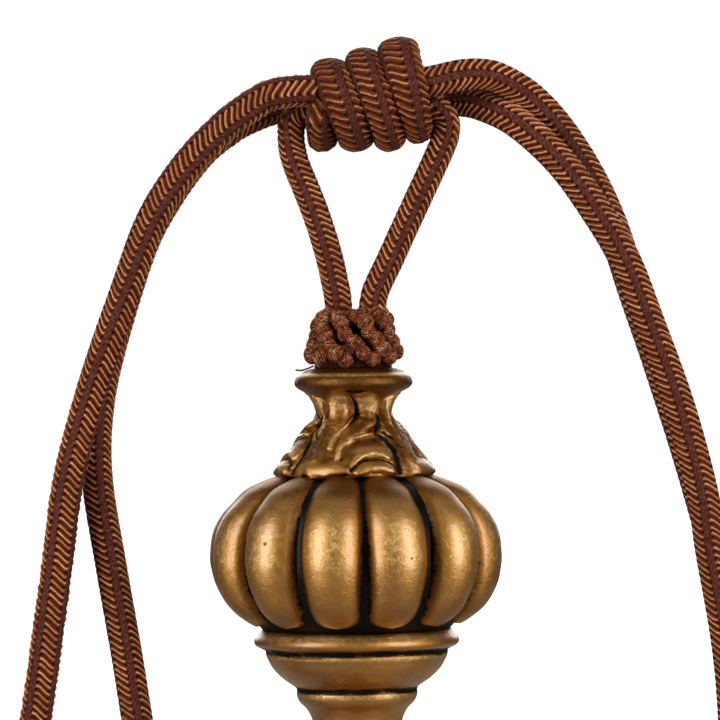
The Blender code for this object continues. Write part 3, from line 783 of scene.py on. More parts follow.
# Painted highlights, partly rubbed wear, where the glaze on the neck turns to bright gold: mm across and
# down, half sizes, how bright.
RUBBED_HIGHLIGHTS = [
    (-3.7, 23.6, 2.2, 2.3, 1.2), (2.7, 23.7, 2.9, 1.9, 1.1), (-2.6, 30.0, 1.6, 1.4, 0.4),
    (4.6, 35.6, 4.6, 1.1, 0.5), (-10.5, 39.6, 4.6, 1.6, 0.6), (-4.4, 38.9, 2.6, 2.0, 0.4),
    (5.0, 39.8, 4.6, 1.5, 0.6), (9.6, 31.0, 2.6, 1.4, 0.7), (14.2, 39.5, 2.4, 1.8, 0.4),
]


def near_line(across, down, line):
    """How far each place is from the line, in shares of its half width there, and the line's height there."""
    rows = smooth_table(line, 24)
    best, wide, high = np.full(across.shape, 99.0), np.ones(across.shape), np.zeros(across.shape)
    for start, step in zip(rows, np.diff(rows, axis=0)):
        share = ((across - start[0]) * step[0] + (down - start[1]) * step[1]) / (step[0] ** 2 + step[1] ** 2)
        share = np.clip(share, 0, 1)
        apart = np.hypot(across - start[0] - share * step[0], down - start[1] - share * step[1])
        closer = apart < best
        best = np.where(closer, apart, best)
        wide = np.where(closer, start[2] + share * step[2], wide)
        high = np.where(closer, start[3] + share * step[3], high)
    return best / wide, high


def calyx_relief(drop, radius, angle):
    """Height in mm of the carved leaves over the neck, how much wax is left there, and how bright it is:
    painted highlights on rims and raised spots, partly rubbed wear.
    """
    turned = (np.degrees(angle) - CALYX_START) % 360
    span = 360 / CALYX_GROUPS
    group = turned % span + CALYX_START
    held = np.array(HELD_WAX)[(turned // span).astype(int) % CALYX_GROUPS]
    edge = np.minimum(group - CALYX_START, span + CALYX_START - group)
    across = radius * np.sin(np.radians(group))
    height, wax, bright = np.zeros((3, *across.shape))
    for at_across, at_down, half_across, half_down, level in RUBBED_HIGHLIGHTS:
        away = ((across - at_across) / half_across) ** 2 + ((drop - at_down) / half_down) ** 2
        bright = np.maximum(bright, level * np.exp(-0.8 * away))
    for line in LEAVES:
        away, high = near_line(across, drop, line)
        height = np.maximum(height, high * np.clip(1 - away**2, 0, 1) ** 0.65)
    for line in RIMS:
        away, high = near_line(across, drop, line)
        ridge = np.exp(-0.7 * away**2) * (away < 2.5)
        height = np.maximum(height, high * ridge)
        # painted highlight along each rim
        bright = np.maximum(bright, 0.9 * ridge)
    for line in CLEFTS:
        away, dark = near_line(across, drop, line)
        wax = np.maximum(wax, dark * np.exp(-0.6 * (away / held) ** 2))
        height -= 0.7 * dark * np.exp(-0.6 * away**2)
    shown = eased(drop, 20.4, 21.8) * (1 - eased(drop, 41.6, 42.4)) * eased(edge, 0, 8)
    return height * shown, wax * eased(drop, 19.6, 20.4), bright


def wobble(drop, angle, scale, seed):
    """Slow uneven casting, in shares of 1, the same every time."""
    waves = ((2, 0.31, 0.7), (3, 0.23, 2.1), (5, 0.47, 4.2), (8, 0.61, 1.3))
    total = 0.0
    for k, (turns, rate, shift) in enumerate(waves):
        total = total + np.sin(turns * angle + rate * drop * scale + shift * (seed + k)) / (k + 1.5)
    return total / 2


def build_wear_group():
    """Antiquing and wear on gilt: wax where wax_and_light says, with a ragged edge, pits and rubbed spots."""
    inputs = [("Place", None), ("WaxAndLight", 0.0), ("Ragged", 0.35)]
    group, source, result = new_group("antique_wear", inputs, ("Wax", "Pits", "Rub", "Grain"))
    place, wax_and_light, ragged = source.outputs[:3]
    fine, wide = (
        maths(group, "MULTIPLY", maths(group, "SUBTRACT", noise(group, place, *kind), 0.5), ragged)
        for kind in ((1250.0, 3.0, 0.75), (260.0, 2.0, 0.55))
    )
    wax = ramp(group, maths(group, "ADD", wax_and_light, maths(group, "ADD", fine, wide)), 0.43, 0.57)
    sizes = []
    for number, rim, middle, patches, few, many in PITS:
        cells = add_node(group, "ShaderNodeTexVoronoi", [("Vector", place), ("Scale", number)], feature="F1")
        pit = ramp(group, cells.outputs["Distance"], rim, middle)
        chosen = ramp(group, noise(group, place, patches, 1.0, 0.55), few, many)
        sizes.append(maths(group, "MULTIPLY", pit, chosen))
    pits = maths(group, "MAXIMUM", *sizes)
    rub = ramp(group, noise(group, place, 650.0, 4.0, 0.65), 0.48, 0.66)
    grain = noise(group, place, 2100.0, 3.0, 0.7)
    feed(group, result, enumerate((wax, pits, rub, grain)))
    return group


def gilt_material(settings, wear):
    material, tree, shader = new_material("antique_gilt", 0.4, 1.0, Coat_Roughness=0.28, Coat_IOR=1.9)
    place = object_place(tree)
    wax_and_light = add_node(tree, "ShaderNodeAttribute", attribute_name="wax_and_light").outputs["Fac"]
    inputs = [("Place", place), ("WaxAndLight", wax_and_light), ("Ragged", 0.85)]
    wax, pits, rub, grain = group_outputs(tree, wear, inputs)
    slow = noise(tree, place, 45.0, 3.0)
    glaze_and_shade = ramp(tree, wax_and_light, 0.02, GLAZED)
    uneven = maths(tree, "MULTIPLY_ADD", rub, 0.45, ramp(tree, grain, 0.44, 0.60, 0.15, 0.55))
    # painted highlights, partly rubbed wear: below 0, wax_and_light turns the gold towards bright gold
    polish_and_highlight = maths(tree, "MULTIPLY", ramp(tree, wax_and_light, -0.05, -0.60), uneven)
    polish_and_highlight = maths(tree, "MULTIPLY_ADD", polish_and_highlight, 0.95, maths(tree, "MULTIPLY", rub, 0.04))
    gold = mixed(tree, ramp(tree, slow, 0.35, 0.68), settings.gold, settings.old_gold)
    gold = mixed(tree, polish_and_highlight, gold, settings.bright_gold)
    # the glaze, which on the lobes is painted shade
    gold = mixed(tree, glaze_and_shade, gold, settings.glaze_and_shade, 0.92)
    gold = mixed(tree, ramp(tree, wax_and_light, GLAZED, DEEP_GLAZE, 0.0, 0.3), gold, DEEP_BROWN)
    gold = mixed(tree, ramp(tree, grain, 0.56, 0.74), gold, GRAIN_BROWN, 0.30)
    gold = mixed(tree, pits, gold, settings.glaze_and_shade, 0.8)
    gold = mixed(tree, wax, gold, settings.wax)
    dull = maths(tree, "MAXIMUM", maths(tree, "MAXIMUM", wax, pits), glaze_and_shade)
    bare = maths(tree, "MAXIMUM", maths(tree, "SUBTRACT", 1.0, dull), 0.12)
    rough = maths(tree, "MULTIPLY_ADD", wax, 0.28, maths(tree, "MULTIPLY_ADD", grain, 0.26, 0.32))
    flat = add_node(tree, "ShaderNodeMapping", [("Vector", place), ("Scale", (1.0, 1.0, 7.0))]).outputs[0]
    dent = maths(tree, "MULTIPLY_ADD", pits, -3.0, maths(tree, "MULTIPLY", rub, 0.5))
    dent = maths(tree, "MULTIPLY_ADD", noise(tree, flat, 330.0, 3.0), 0.6, dent)
    dent = maths(tree, "MULTIPLY_ADD", grain, 0.9, maths(tree, "MULTIPLY_ADD", slow, 1.8, dent))
    feed(tree, shader, [
        ("Base Color", gold), ("Coat Weight", maths(tree, "MULTIPLY", bare, 0.6)), ("Roughness", rough),
        ("Normal", bump(tree, dent, 0.55, 0.00022)),
    ])
    return material


class TASSEL_OT_head(bpy.types.Operator):
    """Make the gilt head: leafy neck, twelve lobes and turned bowl"""

    bl_idname = "tassel.head"
    bl_label = "Gilt head"

    def execute(self, context):
        material = gilt_material(context.scene.tassel_gilt, build_wear_group())
        self.make_neck(material)
        self.make_melon(material)
        self.make_bowl(material)
        return {"FINISHED"}

    def make_neck(self, material):
        line = smooth_table(NECK, CALYX_ROWS)
        angle = np.arange(CALYX_COLUMNS) * 2 * math.pi / CALYX_COLUMNS
        drop, radius = line[:, :1] + 0 * angle, line[:, 1:2] + 0 * angle
        aside, down, rough = np.random.default_rng(3).normal(size=(3, *drop.shape))
        aside, down = CARVING_STRAY * blurred(aside, 2), CARVING_STRAY * blurred(down, 2)
        relief, wax, bright = calyx_relief(drop + down, radius, angle + aside / radius)
        hollow = blurred(relief, 4) - relief
        relief = blurred(relief, 1, 1) + 0.10 * wobble(drop, angle, 1.0, 1) + 0.11 * blurred(rough, 1)
        wax_and_light = np.maximum(wax, HOLLOW_WAX[2] * eased(hollow, *HOLLOW_WAX[:2]))
        wax_and_light = np.maximum(wax_and_light, DEEP_GLAZE * (1 - eased(drop, *NECK_COVERED)))
        wax_and_light = np.maximum(wax_and_light, eased(drop, *NECK_FOOT))
        # painted highlights: a bright line along the rim, and on raised edges; they lower wax_and_light below
        # the glaze
        bright = np.maximum(bright, np.exp(-(((drop - RIM_HIGHLIGHT[0]) / RIM_HIGHLIGHT[1]) ** 2)))
        bright = np.maximum(bright, EDGE_SHINE[2] * eased(-hollow, *EDGE_SHINE[:2]))
        wax_and_light = np.where(wax_and_light < DEEP_GLAZE, DEEP_GLAZE - bright, wax_and_light)
        sink = 0.45 * wobble(drop * 0, angle * 2, 1.0, 4) * eased(drop, 34.0, 41.0)
        neck = turned_grid(line, CALYX_COLUMNS, relief, wax_and_light, sink)
        finish_piece("head_neck", [neck], material, ["head"])

    def make_melon(self, material):
        """The lobes, each a closed ridge, round a waxed core that shows between them."""
        line = smooth_table(LOBE_LINE, LOBE_ROWS)

        def lobe(turn, seed):
            def place(row, column):
                i = np.rint(row * LOBE_ROWS).astype(int)
                drop, crest, half = line[i].T
                side = column * 2 * math.pi
                ends = np.minimum(i, LOBE_ROWS - i)
                shrink = np.sqrt(np.clip(1 - (1 - np.clip(ends / 4, 0, 1)) ** 2, 0, 1))
                width = crest * np.sin(np.radians(half)) * shrink
                rise = np.minimum(LOBE_RISE, width * 0.95)
                uneven = 0.16 * wobble(drop, side * 0 + turn, 1.0, seed)
                out = crest - rise + rise * np.cos(side) + uneven
                sideways = width * np.sin(side)
                lean = math.radians(LOBE_LEAN[seed]) * (1 - eased(drop, 46.0, 62.0))
                angle = turn + lean + np.arctan2(sideways, out)
                return on_tassel(drop * MM, np.hypot(out, sideways) * MM, angle)

            def shade(row, column):
                side = np.abs(((column + 0.5) % 1) - 0.5) * 360
                drop = line[np.rint(row * LOBE_ROWS).astype(int), 0]
                # painted shade on the top and foot of each lobe, darker towards its sides, and a painted
                # highlight in its middle
                start, end, top = LOBE_TOP_SHADE
                glaze_and_shade = top - top * eased(drop, start, end)
                for value, (start, end, most) in ((drop, LOBE_FOOT_SHADE), (side, LOBE_SIDE_DARKER)):
                    glaze_and_shade = np.maximum(glaze_and_shade, most * eased(value, start, end))
                starts, ends, narrows, polish_and_highlight = LOBE_RUBBED_HIGHLIGHT
                rubbed_highlight = eased(drop, *starts) * (1 - eased(drop, *ends)) * (1 - eased(side, *narrows))
                return np.maximum(eased(side, *LOBE_SIDE_WAX), GLAZED * glaze_and_shade) - polish_and_highlight * rubbed_highlight

            return placed_grid(LOBE_ROWS, LOBE_COLUMNS, place, shade=shade)

        shapes = [lobe(LOBE_TURN + (k + 0.5) * 2 * math.pi / LOBES, k) for k in range(LOBES)]
        core = smooth_table(MELON_CORE, 40)
        shapes.append(turned_grid(core, 96, wax_and_light=np.ones((len(core), 96))))
        finish_piece("head_melon", shapes, material, ["head"])

    def make_bowl(self, material):
        line = smooth_table(BOWL, BOWL_ROWS)
        angle = np.arange(BOWL_COLUMNS) * 2 * math.pi / BOWL_COLUMNS
        drop = line[:, :1] + 0 * angle
        relief = 0.13 * wobble(drop, angle, 0.8, 5)
        start, end = BOWL_TOP
        wax_and_light = np.maximum(1 - eased(drop, start, end + 0.25 * wobble(drop, angle, 1, 3)), 0.5 * GLAZED)
        for seam, half in BOWL_SEAMS:
            off = np.abs(drop - seam - 0.35 * wobble(drop * 0, angle * 2, 1, seam)) / half
            held = 0.80 + 0.30 * wobble(drop * 0, angle * 5, 1, seam + 2)
            wax_and_light = np.maximum(wax_and_light, held * (1 - eased(off, 0.1, 2.0)))
        wax_and_light = np.maximum(wax_and_light, eased(drop, *CAP_FOOT))
        # painted highlights along the shoulders
        for shoulder, half in BOWL_SHOULDER_HIGHLIGHTS:
            edge = np.exp(-(((drop - shoulder) / half) ** 2))
            wax_and_light = np.where(wax_and_light < 0.2, np.minimum(wax_and_light, -edge), wax_and_light)
        bowl = turned_grid(line, BOWL_COLUMNS, relief, wax_and_light)
        finish_piece("head_bowl", [bowl], material, ["head"])


# ---------------------------------------------------------------- the plaited collar and the fringe
STRAY = 1.8  # turns that a yarn's plies stray from an even lay
CORE_INDEX = 5  # how far the UV map of a filling is moved down, which makes it plain and dark as painted shade, since a filling shows only in gaps and under the collar

COLLAR_ROPES = 9
COLLAR_TURN = -0.07  # angle of the first rope's start from the front, in radians
COLLAR_SWEEP = math.radians(80)  # how far round a rope runs on its way down
# Path of a collar rope, and outline of what the ropes lie on: drop and radius, in mm.
COLLAR_LINE = [
    (3.4, 4.6), (2.2, 5.9), (2.0, 7.4), (3.0, 8.4), (4.8, 8.8), (7.2, 9.3), (9.4, 10.2), (11.2, 11.0),
    (12.4, 10.7), (12.7, 9.0), (12.0, 7.4),
]
COLLAR_CORE = [(1.6, 3.0), (2.4, 5.6), (8.0, 6.4), (12.6, 8.0), (13.6, 9.6), (15.1, 9.75), (15.1, 3.0)]
COLLAR_RINGS = ((2.6, 6.0, 5), (10.6, 8.2, 6))  # the waving ropes that go round: drop, radius, waves
RING_SWING = (0.65, 0.4)  # mm that such a rope waves down and out
RING_SPACING = 3.1  # mm from one lump of such a rope to the next
RING_HALF_WIDTH = 1.6  # mm
# A lump of the plait: mesh rows and columns, half its length in shares of the spacing, the power of its
# outline, which makes it barrel-shaped, the depth of the grooves between its threads in shares of its
# radius, and the distance from one thread to the next.
LUMP_ROWS = 32
LUMP_COLUMNS = 16
LUMP_HALF = 0.64
LUMP_FULLNESS = 0.6
LUMP_GROOVE = 0.045
LUMP_RIB = 0.42 * MM
COLLAR_TONES = (0.25, 0.68, 1.75)  # brightness of the collar's valleys, body and crests: painted shade in the valleys, a painted highlight on the crests
COLLAR_SHADE = (0.50, 0.31, 0.24)  # the collar's yarn is darker than the cords', by these shares
LOOSE_THREAD = [(-10.6, -1.0, -82.5), (-12.0, -1.4, -83.1), (-13.6, -1.8, -83.6), (-15.1, -1.9, -83.5)]
THREAD_RADIUS = 0.24  # mm

# The fringe. Its cords hang from the header, in an outer and an inner layer. Sizes are in mm.
FRINGE_TOP = 134.6  # drop of the cords' tops
FRINGE_PLY_PITCH = 4.6
FRINGE_GROOVE = 0.30  # depth between a cord's two plies, in shares of its radius
FRINGE_BLUNT = 2.2  # length over which a cord's cut end is rounded
FRINGE_LAYERS = [
    # name, cords, top radius, foot radius, half thickness, length, rows, columns
    ("fringe_outer", 60, 19.6, 24.6, 1.32, 116.5, 128, 8),
    ("fringe_inner", 44, 16.6, 21.4, 1.40, 115.0, 64, 8),
]
MIDDLE_RIBS = 40
MIDDLE_COLUMNS = MIDDLE_RIBS * 6
MIDDLE_OUTLINE = [(135.0, 14.0), (136.0, 15.0), (180.0, 18.0), (247.0, 19.6), (247.5, 14.0)]
HEADER_ROPES = ((135.2, 21.0), (142.8, 22.4))  # drop and radius
HEADER_BAND = [(134.6, 18.0), (134.6, 20.6), (139.0, 21.4), (143.6, 22.0), (143.6, 18.0)]
HEADER_WAVES = 17  # of each of the two yarns that cross between the ropes
HEADER_LINE = (139.0, 21.9)  # drop and radius that those two wave about
HEADER_SWING = (2.3, 0.35)  # how far they wave down and out


def yarn_tube(route, facing, radius, rows, around, plies, ply_pitch, index=0, groove=0.12, blunt=0.0):
    """A yarn tube along the route, grooved by its plies. In its UV map u is the length in ply pitches,
    and v the way round, plus the yarn's index. Blunt rounds off the ends over that many metres."""
    length = length_of(route)
    normal, side = frames_along(route, facing)

    def place(row, column):
        s = row * length
        angle = column * 2 * math.pi
        groove_here = groove * (0.5 - 0.5 * np.cos(plies * angle + 2 * math.pi * s / ply_pitch))
        out = radius * (1 - groove_here)
        if blunt:
            near = np.clip(np.minimum(s, length - s) / blunt, 0, 1)
            out = out * np.sqrt(1 - (1 - near) ** 2)
        centre, n, b = (along(table, s, length) for table in (route, normal, side))
        return centre + n * (np.cos(angle) * out)[:, None] + b * (np.sin(angle) * out)[:, None]

    return shifted_uvs(placed_grid(rows, around, place, uv_size=(length / ply_pitch, 1.0)), v=index)


def rope(route, facing, strands, radius, orbit, pitch, spacing, around, plies, ply_pitch):
    """Strands laid round each other along the route, each at that orbit from it. Spacing is between the
    mesh rows of a strand, and around is the number of its columns."""
    length = length_of(route)
    normal, side = frames_along(route, facing)
    s = np.linspace(0, length, len(route))
    rows = max(4, round(length / spacing))
    made = []
    for k in range(strands):
        turn = 2 * math.pi * (k / strands - s / pitch)
        away = normal * np.cos(turn)[:, None] + side * np.sin(turn)[:, None]
        made.append(yarn_tube(route + away * orbit, away, radius, rows, around, plies, ply_pitch, k))
    return made


def plaited_chain(route, facing, spacing, wide, chance):
    """Plaited yarn along the route: a chain of wound lumps, leaning to one side and the other in turn."""
    length = length_of(route)
    normal, side = frames_along(route, facing)
    onward = unit(np.gradient(route, axis=0))
    made = []
    for k, s in enumerate(np.arange(chance.uniform(0.1, 0.6) * spacing, length, spacing)):
        centre, n, b, t = (along(table, np.array([s]), length)[0] for table in (route, normal, side, onward))
        swing = 1 if k % 2 else -1
        lean = swing * chance.uniform(0.15, 0.55)
        t, b = t * math.cos(lean) + b * math.sin(lean), b * math.cos(lean) - t * math.sin(lean)
        centre = centre + b * swing * chance.uniform(0.1, 0.4) * MM
        size = chance.uniform(0.9, 1.12)
        half_along, half_wide, half_deep = (
            size * value for value in (LUMP_HALF * spacing, wide, 0.95 * wide)
        )
        shift, twist = chance.uniform(0, 1), chance.uniform(-0.3, 0.3)

        def place(row, column):
            turn, angle = row * math.pi, column * 2 * math.pi
            thread = half_along * (1 - np.cos(turn)) / LUMP_RIB + shift + twist * np.sin(angle)
            ring = np.sin(turn) ** LUMP_FULLNESS * (1 + LUMP_GROOVE * np.cos(2 * math.pi * thread))
            out, aside = np.cos(angle) * ring * half_deep, np.sin(angle) * ring * half_wide
            return centre - np.outer(np.cos(turn) * half_along, t) + np.outer(out, n) + np.outer(aside, b)

        lump = placed_grid(LUMP_ROWS, LUMP_COLUMNS, place, uv_size=(2 * half_along / LUMP_RIB, 1.0))
        made.append(shifted_uvs(lump, u=shift + 0.5))
    return made


def build_yarn_group():
    """Fine plies of a laid yarn, read from its UV map: u counts plies along it, v is the way round. Stray is
    how many turns its lay wanders."""
    inputs = [("UV", None), ("Plies", 3.0), ("Place", None), ("Stray", STRAY)]
    group, source, result = new_group("laid_yarn", inputs, ("Crest", "Hair", "Tone", "Index"))
    uv, plies, place, stray = source.outputs[:4]
    u, v = add_node(group, "ShaderNodeSeparateXYZ", [(0, uv)]).outputs[:2]
    tone = noise(group, place, 900.0, 5.0, 0.7)
    lay = maths(group, "MULTIPLY_ADD", tone, stray, maths(group, "MULTIPLY_ADD", v, plies, u))
    hair = maths(group, "SINE", maths(group, "MULTIPLY", lay, 2 * math.pi * 5))
    index = maths(group, "FLOOR", maths(group, "ADD", v, 0.0005))  # a yarn's own seam counts to that yarn
    feed(group, result, enumerate((wave(group, lay), hair, tone, index)))
    return group


def yarn_material(name, plies, colours, dark_every=0, flecks=0.0, stray=STRAY):
    """Laid yarn in the colours of its valleys, body and crests, with maroon patches; the valleys are painted
    shade and the crests a painted highlight. With dark_every, one yarn in that many is maroon. Flecks is the
    share that shows of pale thread on the crests, partly wear and partly painted glints, and of dark gaps,
    which are painted shade."""
    yarn = bpy.data.node_groups.get("laid_yarn") or build_yarn_group()
    material, tree, shader = new_material(name, 0.45, Specular_IOR_Level=0.15, Specular_Tint=YARN_GLOSS)
    place = object_place(tree)
    uv = add_node(tree, "ShaderNodeUVMap", uv_map="UVMap").outputs[0]
    inputs = [("UV", uv), ("Plies", plies), ("Place", place), ("Stray", stray)]
    crest, hair, tone, index = group_outputs(tree, yarn, inputs)
    valley_shade, body, top, maroon = colours
    # painted shade in the valleys and a painted highlight on the crests
    colour = mixed(tree, ramp(tree, crest, 0.0, 0.5), valley_shade, body)
    colour = mixed(tree, ramp(tree, crest, 0.5, 1.0), colour, top, ramp(tree, tone, 0.62, 0.42))
    colour = mixed(tree, ramp(tree, tone, 0.42, 0.66), colour, maroon, 0.55)
    if flecks:
        # flecks: pale worn thread on the crests, partly painted glints, and dark gaps as painted shade
        spots = noise(tree, place, 420.0, 5.0, 0.8)
        worn = maths(tree, "MULTIPLY", crest, flecks)
        colour = mixed(tree, ramp(tree, spots, 0.52, 0.66), colour, PALE_THREAD_AND_GLINT, worn)
        colour = mixed(tree, ramp(tree, spots, 0.48, 0.34), colour, valley_shade, flecks)
    if dark_every:
        share = maths(tree, "FRACT", maths(tree, "MULTIPLY", maths(tree, "ADD", index, 0.25), 1 / dark_every))
        deep = mixed(tree, crest, valley_shade, maroon)
        colour = mixed(tree, maths(tree, "LESS_THAN", share, 1 / dark_every), colour, deep, 0.9)
    colour = mixed(tree, ramp(tree, hair, 0.1, 1.0), colour, valley_shade, 0.25)
    # painted shade: fillings are plain dark maroon
    colour = mixed(tree, maths(tree, "LESS_THAN", index, -0.5), colour, [0.45 * a for a in maroon])
    rough = maths(tree, "MULTIPLY_ADD", tone, 0.3, 0.28)
    height = maths(tree, "MULTIPLY_ADD", hair, 0.3, maths(tree, "ADD", crest, tone))
    surface = bump(tree, height, 0.5, 0.00015)
    feed(tree, shader, [("Base Color", colour), ("Roughness", rough), ("Normal", surface)])
    return material


def yarn_colours(settings):
    """Colours of the yarn's valleys, body and crests, and its maroon. The valleys are painted shade and the
    crests a painted highlight.
    """
    body = [a * 0.75 + b * 0.25 for a, b in zip(settings.rust, settings.copper)]
    return VALLEY_SHADE, body, tuple(settings.copper), tuple(settings.maroon)


class TASSEL_OT_collar(bpy.types.Operator):
    """Make the plaited collar that grips the two legs over the head"""

    bl_idname = "tassel.collar"
    bl_label = "Collar"

    def execute(self, context):
        _, body, top, maroon = yarn_colours(context.scene.tassel_cord)
        toned = [[tone * a for a in colour] for tone, colour in zip(COLLAR_TONES, (body, body, top))]
        colours = [[a * b for a, b in zip(colour, COLLAR_SHADE)] for colour in (*toned, maroon)]
        material = yarn_material("plaited_yarn", 3.0, colours, flecks=0.85, stray=3.4)
        chance = np.random.default_rng(11)
        shapes = []
        line = smooth_table(COLLAR_LINE, 60)
        share = np.linspace(0, 1, len(line))
        for k in range(COLLAR_ROPES):
            start = 2 * math.pi * k / COLLAR_ROPES + COLLAR_TURN + chance.uniform(-0.07, 0.07)
            angle = start + COLLAR_SWEEP * share + 0.06 * np.sin(share * 7 + k)
            drop = line[:, 0] + chance.uniform(-0.7, 0.7)
            radius = line[:, 1] + chance.uniform(-0.3, 0.3)
            spacing, wide = chance.uniform(2.7, 3.1) * MM, chance.uniform(1.97, 2.27) * MM
            shapes += plaited_chain(*tassel_route(drop, radius, angle), spacing, wide, chance)
        around = np.linspace(0, 2 * math.pi, 160)
        for drop, radius, waves in COLLAR_RINGS:
            down = drop + RING_SWING[0] * np.sin(waves * around + drop)
            out = radius + RING_SWING[1] * np.cos(waves * around)
            route, facing = tassel_route(down, out, around)
            shapes += plaited_chain(route, facing, RING_SPACING * MM, RING_HALF_WIDTH * MM, chance)
        # painted shade: the core that shows between the lumps and as a band under the collar is plain dark
        # yarn
        shapes.append(shifted_uvs(turned_grid(np.array(COLLAR_CORE), 48), v=-CORE_INDEX))
        thread = smooth_route(LOOSE_THREAD)
        shapes.append(yarn_tube(
            thread, FRONT, THREAD_RADIUS * MM, rows=24, around=8, plies=2, ply_pitch=0.8 * MM,
        ))
        finish_piece("collar_plait", shapes, material, ["collar"])
        return {"FINISHED"}


class TASSEL_OT_fringe(bpy.types.Operator):
    """Make the fringe of twisted cords and the braid that it hangs from"""

    bl_idname = "tassel.fringe"
    bl_label = "Fringe"

    def execute(self, context):
        colours = yarn_colours(context.scene.tassel_cord)
        self.make_layers(yarn_material("fringe_yarn", 2.0, colours, dark_every=3))
        self.make_header(yarn_material("header_yarn", 3.0, colours))
        return {"FINISHED"}

    def make_layers(self, material):
        chance = np.random.default_rng(5)
        share = np.linspace(0, 1, 40)
        for name, cords, top, foot, half, length, rows, columns in FRINGE_LAYERS:
            shapes = []
            for k in range(cords):
                angle = 2 * math.pi * (k + chance.uniform(-0.12, 0.12)) / cords
                sway = chance.uniform(-0.02, 0.02) * share**2 + 0.006 * np.sin(share * 9 + k)
                reach = top + (foot - top) * np.sin(share * math.pi / 2) ** 0.8
                reach = reach + chance.uniform(-0.3, 0.3) * share
                drop = FRINGE_TOP + length * share * (1 - chance.uniform(0, 0.012))
                route, facing = tassel_route(drop, reach, angle + sway)
                shapes.append(yarn_tube(
                    route, facing, half * MM, rows, columns, plies=2, ply_pitch=FRINGE_PLY_PITCH * MM,
                    index=k, groove=FRINGE_GROOVE, blunt=FRINGE_BLUNT * MM,
                ))
            if name == "fringe_inner":
                shapes.append(self.make_middle())
            finish_piece(name, shapes, material, ["skirt"])

    def make_middle(self):
        """The cords packed in the middle of the fringe, as one plain ribbed surface, made plain and dark as
        painted shade.
        """
        outline = smooth_table(MIDDLE_OUTLINE, 40)
        turn = np.arange(MIDDLE_COLUMNS) * 2 * math.pi / MIDDLE_COLUMNS
        relief = 0.5 * np.cos(MIDDLE_RIBS * turn) + 0 * outline[:, :1]
        return shifted_uvs(turned_grid(outline, MIDDLE_COLUMNS, relief), v=-CORE_INDEX)

    def make_header(self, material):
        """The braid at the fringe's top: two ropes, and two yarns that wave between them on a band."""
        around = np.linspace(0, 2 * math.pi, 240)
        shapes = []
        for drop, radius in HEADER_ROPES:
            route, facing = tassel_route(drop + 0 * around, radius + 0 * around, around)
            shapes += rope(
                route, facing, strands=2, radius=0.85 * MM, orbit=0.72 * MM, pitch=4.4 * MM,
                spacing=0.6 * MM, around=10, plies=3, ply_pitch=2.0 * MM,
            )
        for start in (0.0, math.pi):
            drop = HEADER_LINE[0] + HEADER_SWING[0] * np.sin(HEADER_WAVES * around + start)
            reach = HEADER_LINE[1] + HEADER_SWING[1] * np.cos(2 * HEADER_WAVES * around + start)
            route, facing = tassel_route(drop, reach, around)
            shapes.append(yarn_tube(
                route, facing, 0.95 * MM, rows=480, around=10, plies=3, ply_pitch=2.4 * MM,
            ))
        shapes.append(turned_grid(np.array(HEADER_BAND), 96))
        finish_piece("fringe_header", shapes, material, ["skirt"])


# ---------------------------------------------------------------- stage
CAMERA_PLACE = (0.001, -1.2, -0.081)  # metres
CAMERA_LENS = 240.0  # mm, on a frame 36 mm wide
FLOOR_RADIUS = 30.0  # metres
FLOOR_PALE = (0.86, 0.855, 0.84)  # as the camera sees it
FLOOR_LIT = (0.38, 0.35, 0.30)  # as the tassel is lit by it
LIT_POINT = Vector((0.0, 0.0, -0.11))  # what the lights point at
# Soft lights: name, degrees round from the front, distance and height from that point in metres, share of
# the power, and size in metres.
LIGHTS = (
    ("softbox_left", -53, 1.1, 0.28, 1.0, (0.6, 1.4)),
    ("softbox_right", 53, 1.1, 0.28, 1.0, (0.6, 1.4)),
    ("softbox_behind", 180, 1.1, 0.5, 0.8, (1.2, 1.0)),
    ("softbox_above", 0, 0.2, 1.2, 0.05, (1.4, 0.25)),
)


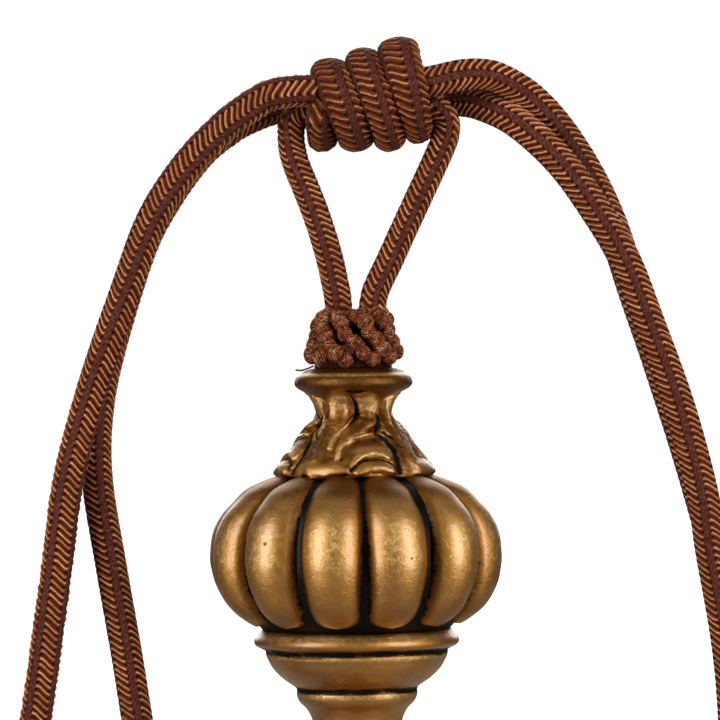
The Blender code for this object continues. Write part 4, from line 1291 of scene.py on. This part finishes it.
class TASSEL_OT_stage(bpy.types.Operator):
    """Make the floor, the light and the camera"""

    bl_idname = "tassel.stage"
    bl_label = "Stage"

    def execute(self, context):
        scene = context.scene
        self.make_floor(scene)
        self.make_light(scene)
        data = bpy.data.cameras.new("camera")
        data.lens, data.sensor_width = CAMERA_LENS, 36.0
        data.clip_start, data.clip_end = 0.05, 100.0
        camera = bpy.data.objects.new("camera", data)
        scene.collection.objects.link(camera)
        camera.location = CAMERA_PLACE
        camera.rotation_euler = (math.pi / 2, 0, 0)
        scene.camera = camera
        scene.view_settings.view_transform = "Standard"
        return {"FINISHED"}

    def make_floor(self, scene):
        shape = bmesh.new()
        bmesh.ops.create_circle(shape, cap_ends=True, segments=96, radius=FLOOR_RADIUS)
        bmesh.ops.translate(shape, vec=(0, 0, scene.tassel_stage.floor_drop), verts=shape.verts)
        mesh = joined("floor", [shape])
        floor = bpy.data.objects.new("floor", mesh)
        scene.collection.objects.link(floor)
        material, tree, shader = new_material("pale_floor", 0.8, Emission_Color=(1, 1, 1, 1))
        seen = add_node(tree, "ShaderNodeLightPath").outputs["Is Camera Ray"]
        place = object_place(tree)
        far = add_node(tree, "ShaderNodeVectorMath", [(0, place)], operation="LENGTH").outputs["Value"]
        # painted glow: for camera rays the floor glows, more with distance, so that it reads as a white
        # backdrop; other rays see the darker FLOOR_LIT
        glow = maths(tree, "MULTIPLY", ramp(tree, far, 0.6, 3.0, 0.55, 1.1), seen)
        colour = mixed(tree, seen, FLOOR_LIT, FLOOR_PALE)
        feed(tree, shader, [("Base Color", colour), ("Emission Strength", glow)])
        mesh.materials.append(material)

    def make_light(self, scene):
        """Light from all round, which the camera sees as white, and the soft lights."""
        settings = scene.tassel_stage
        scene.world = bpy.data.worlds.new("studio")
        scene.world.use_nodes = True
        tree = scene.world.node_tree
        background = next(node for node in tree.nodes if node.type == "BACKGROUND")
        seen = add_node(tree, "ShaderNodeLightPath").outputs["Is Camera Ray"]
        inputs = [("Value", seen), ("To Min", settings.fill), ("To Max", 1.05)]
        strength = add_node(tree, "ShaderNodeMapRange", inputs).outputs[0]
        feed(tree, background, [("Strength", strength), ("Color", (1, 1, 1, 1))])
        for name, azimuth, reach, height, share, size in LIGHTS:
            data = bpy.data.lights.new(name, "AREA")
            data.shape, data.size, data.size_y = "RECTANGLE", *size
            data.energy = settings.light_power * share
            lamp = bpy.data.objects.new(name, data)
            scene.collection.objects.link(lamp)
            turn = math.radians(azimuth)
            lamp.location = LIT_POINT + Vector((math.sin(turn) * reach, -math.cos(turn) * reach, height))
            lamp.rotation_euler = (lamp.location - LIT_POINT).to_track_quat("Z", "Y").to_euler()


class TASSEL_PT_panel(bpy.types.Panel):
    """Lists the tassel's sizes, colours and pieces"""

    bl_idname = "TASSEL_PT_panel"
    bl_label = "Curtain tieback tassel"
    bl_space_type = "VIEW_3D"
    bl_region_type = "UI"
    bl_category = "Tassel"

    def draw(self, context):
        for group in SETTINGS:
            box = self.layout.box()
            settings = getattr(context.scene, group)
            for name in settings.__annotations__:
                box.prop(settings, name)
        for operator in STEPS:
            self.layout.operator("tassel." + operator)


STEPS = ("cords", "knot", "collar", "head", "fringe", "stage")
SETTINGS = {
    "tassel_cord": TasselCordSettings,
    "tassel_gilt": TasselGiltSettings,
    "tassel_stage": TasselStageSettings,
}
CLASSES = (
    *SETTINGS.values(), TASSEL_OT_cords, TASSEL_OT_knot, TASSEL_OT_collar, TASSEL_OT_head,
    TASSEL_OT_fringe, TASSEL_OT_stage, TASSEL_PT_panel,
)


def register():
    for item in CLASSES:
        bpy.utils.register_class(item)
    for name, group in SETTINGS.items():
        setattr(bpy.types.Scene, name, bpy.props.PointerProperty(type=group))


def unregister():
    for name in SETTINGS:
        delattr(bpy.types.Scene, name)
    for item in reversed(CLASSES):
        bpy.utils.unregister_class(item)


def main():
    register()
    for step in STEPS:
        getattr(bpy.ops.tassel, step)()


if __name__ == "__main__":
    main()
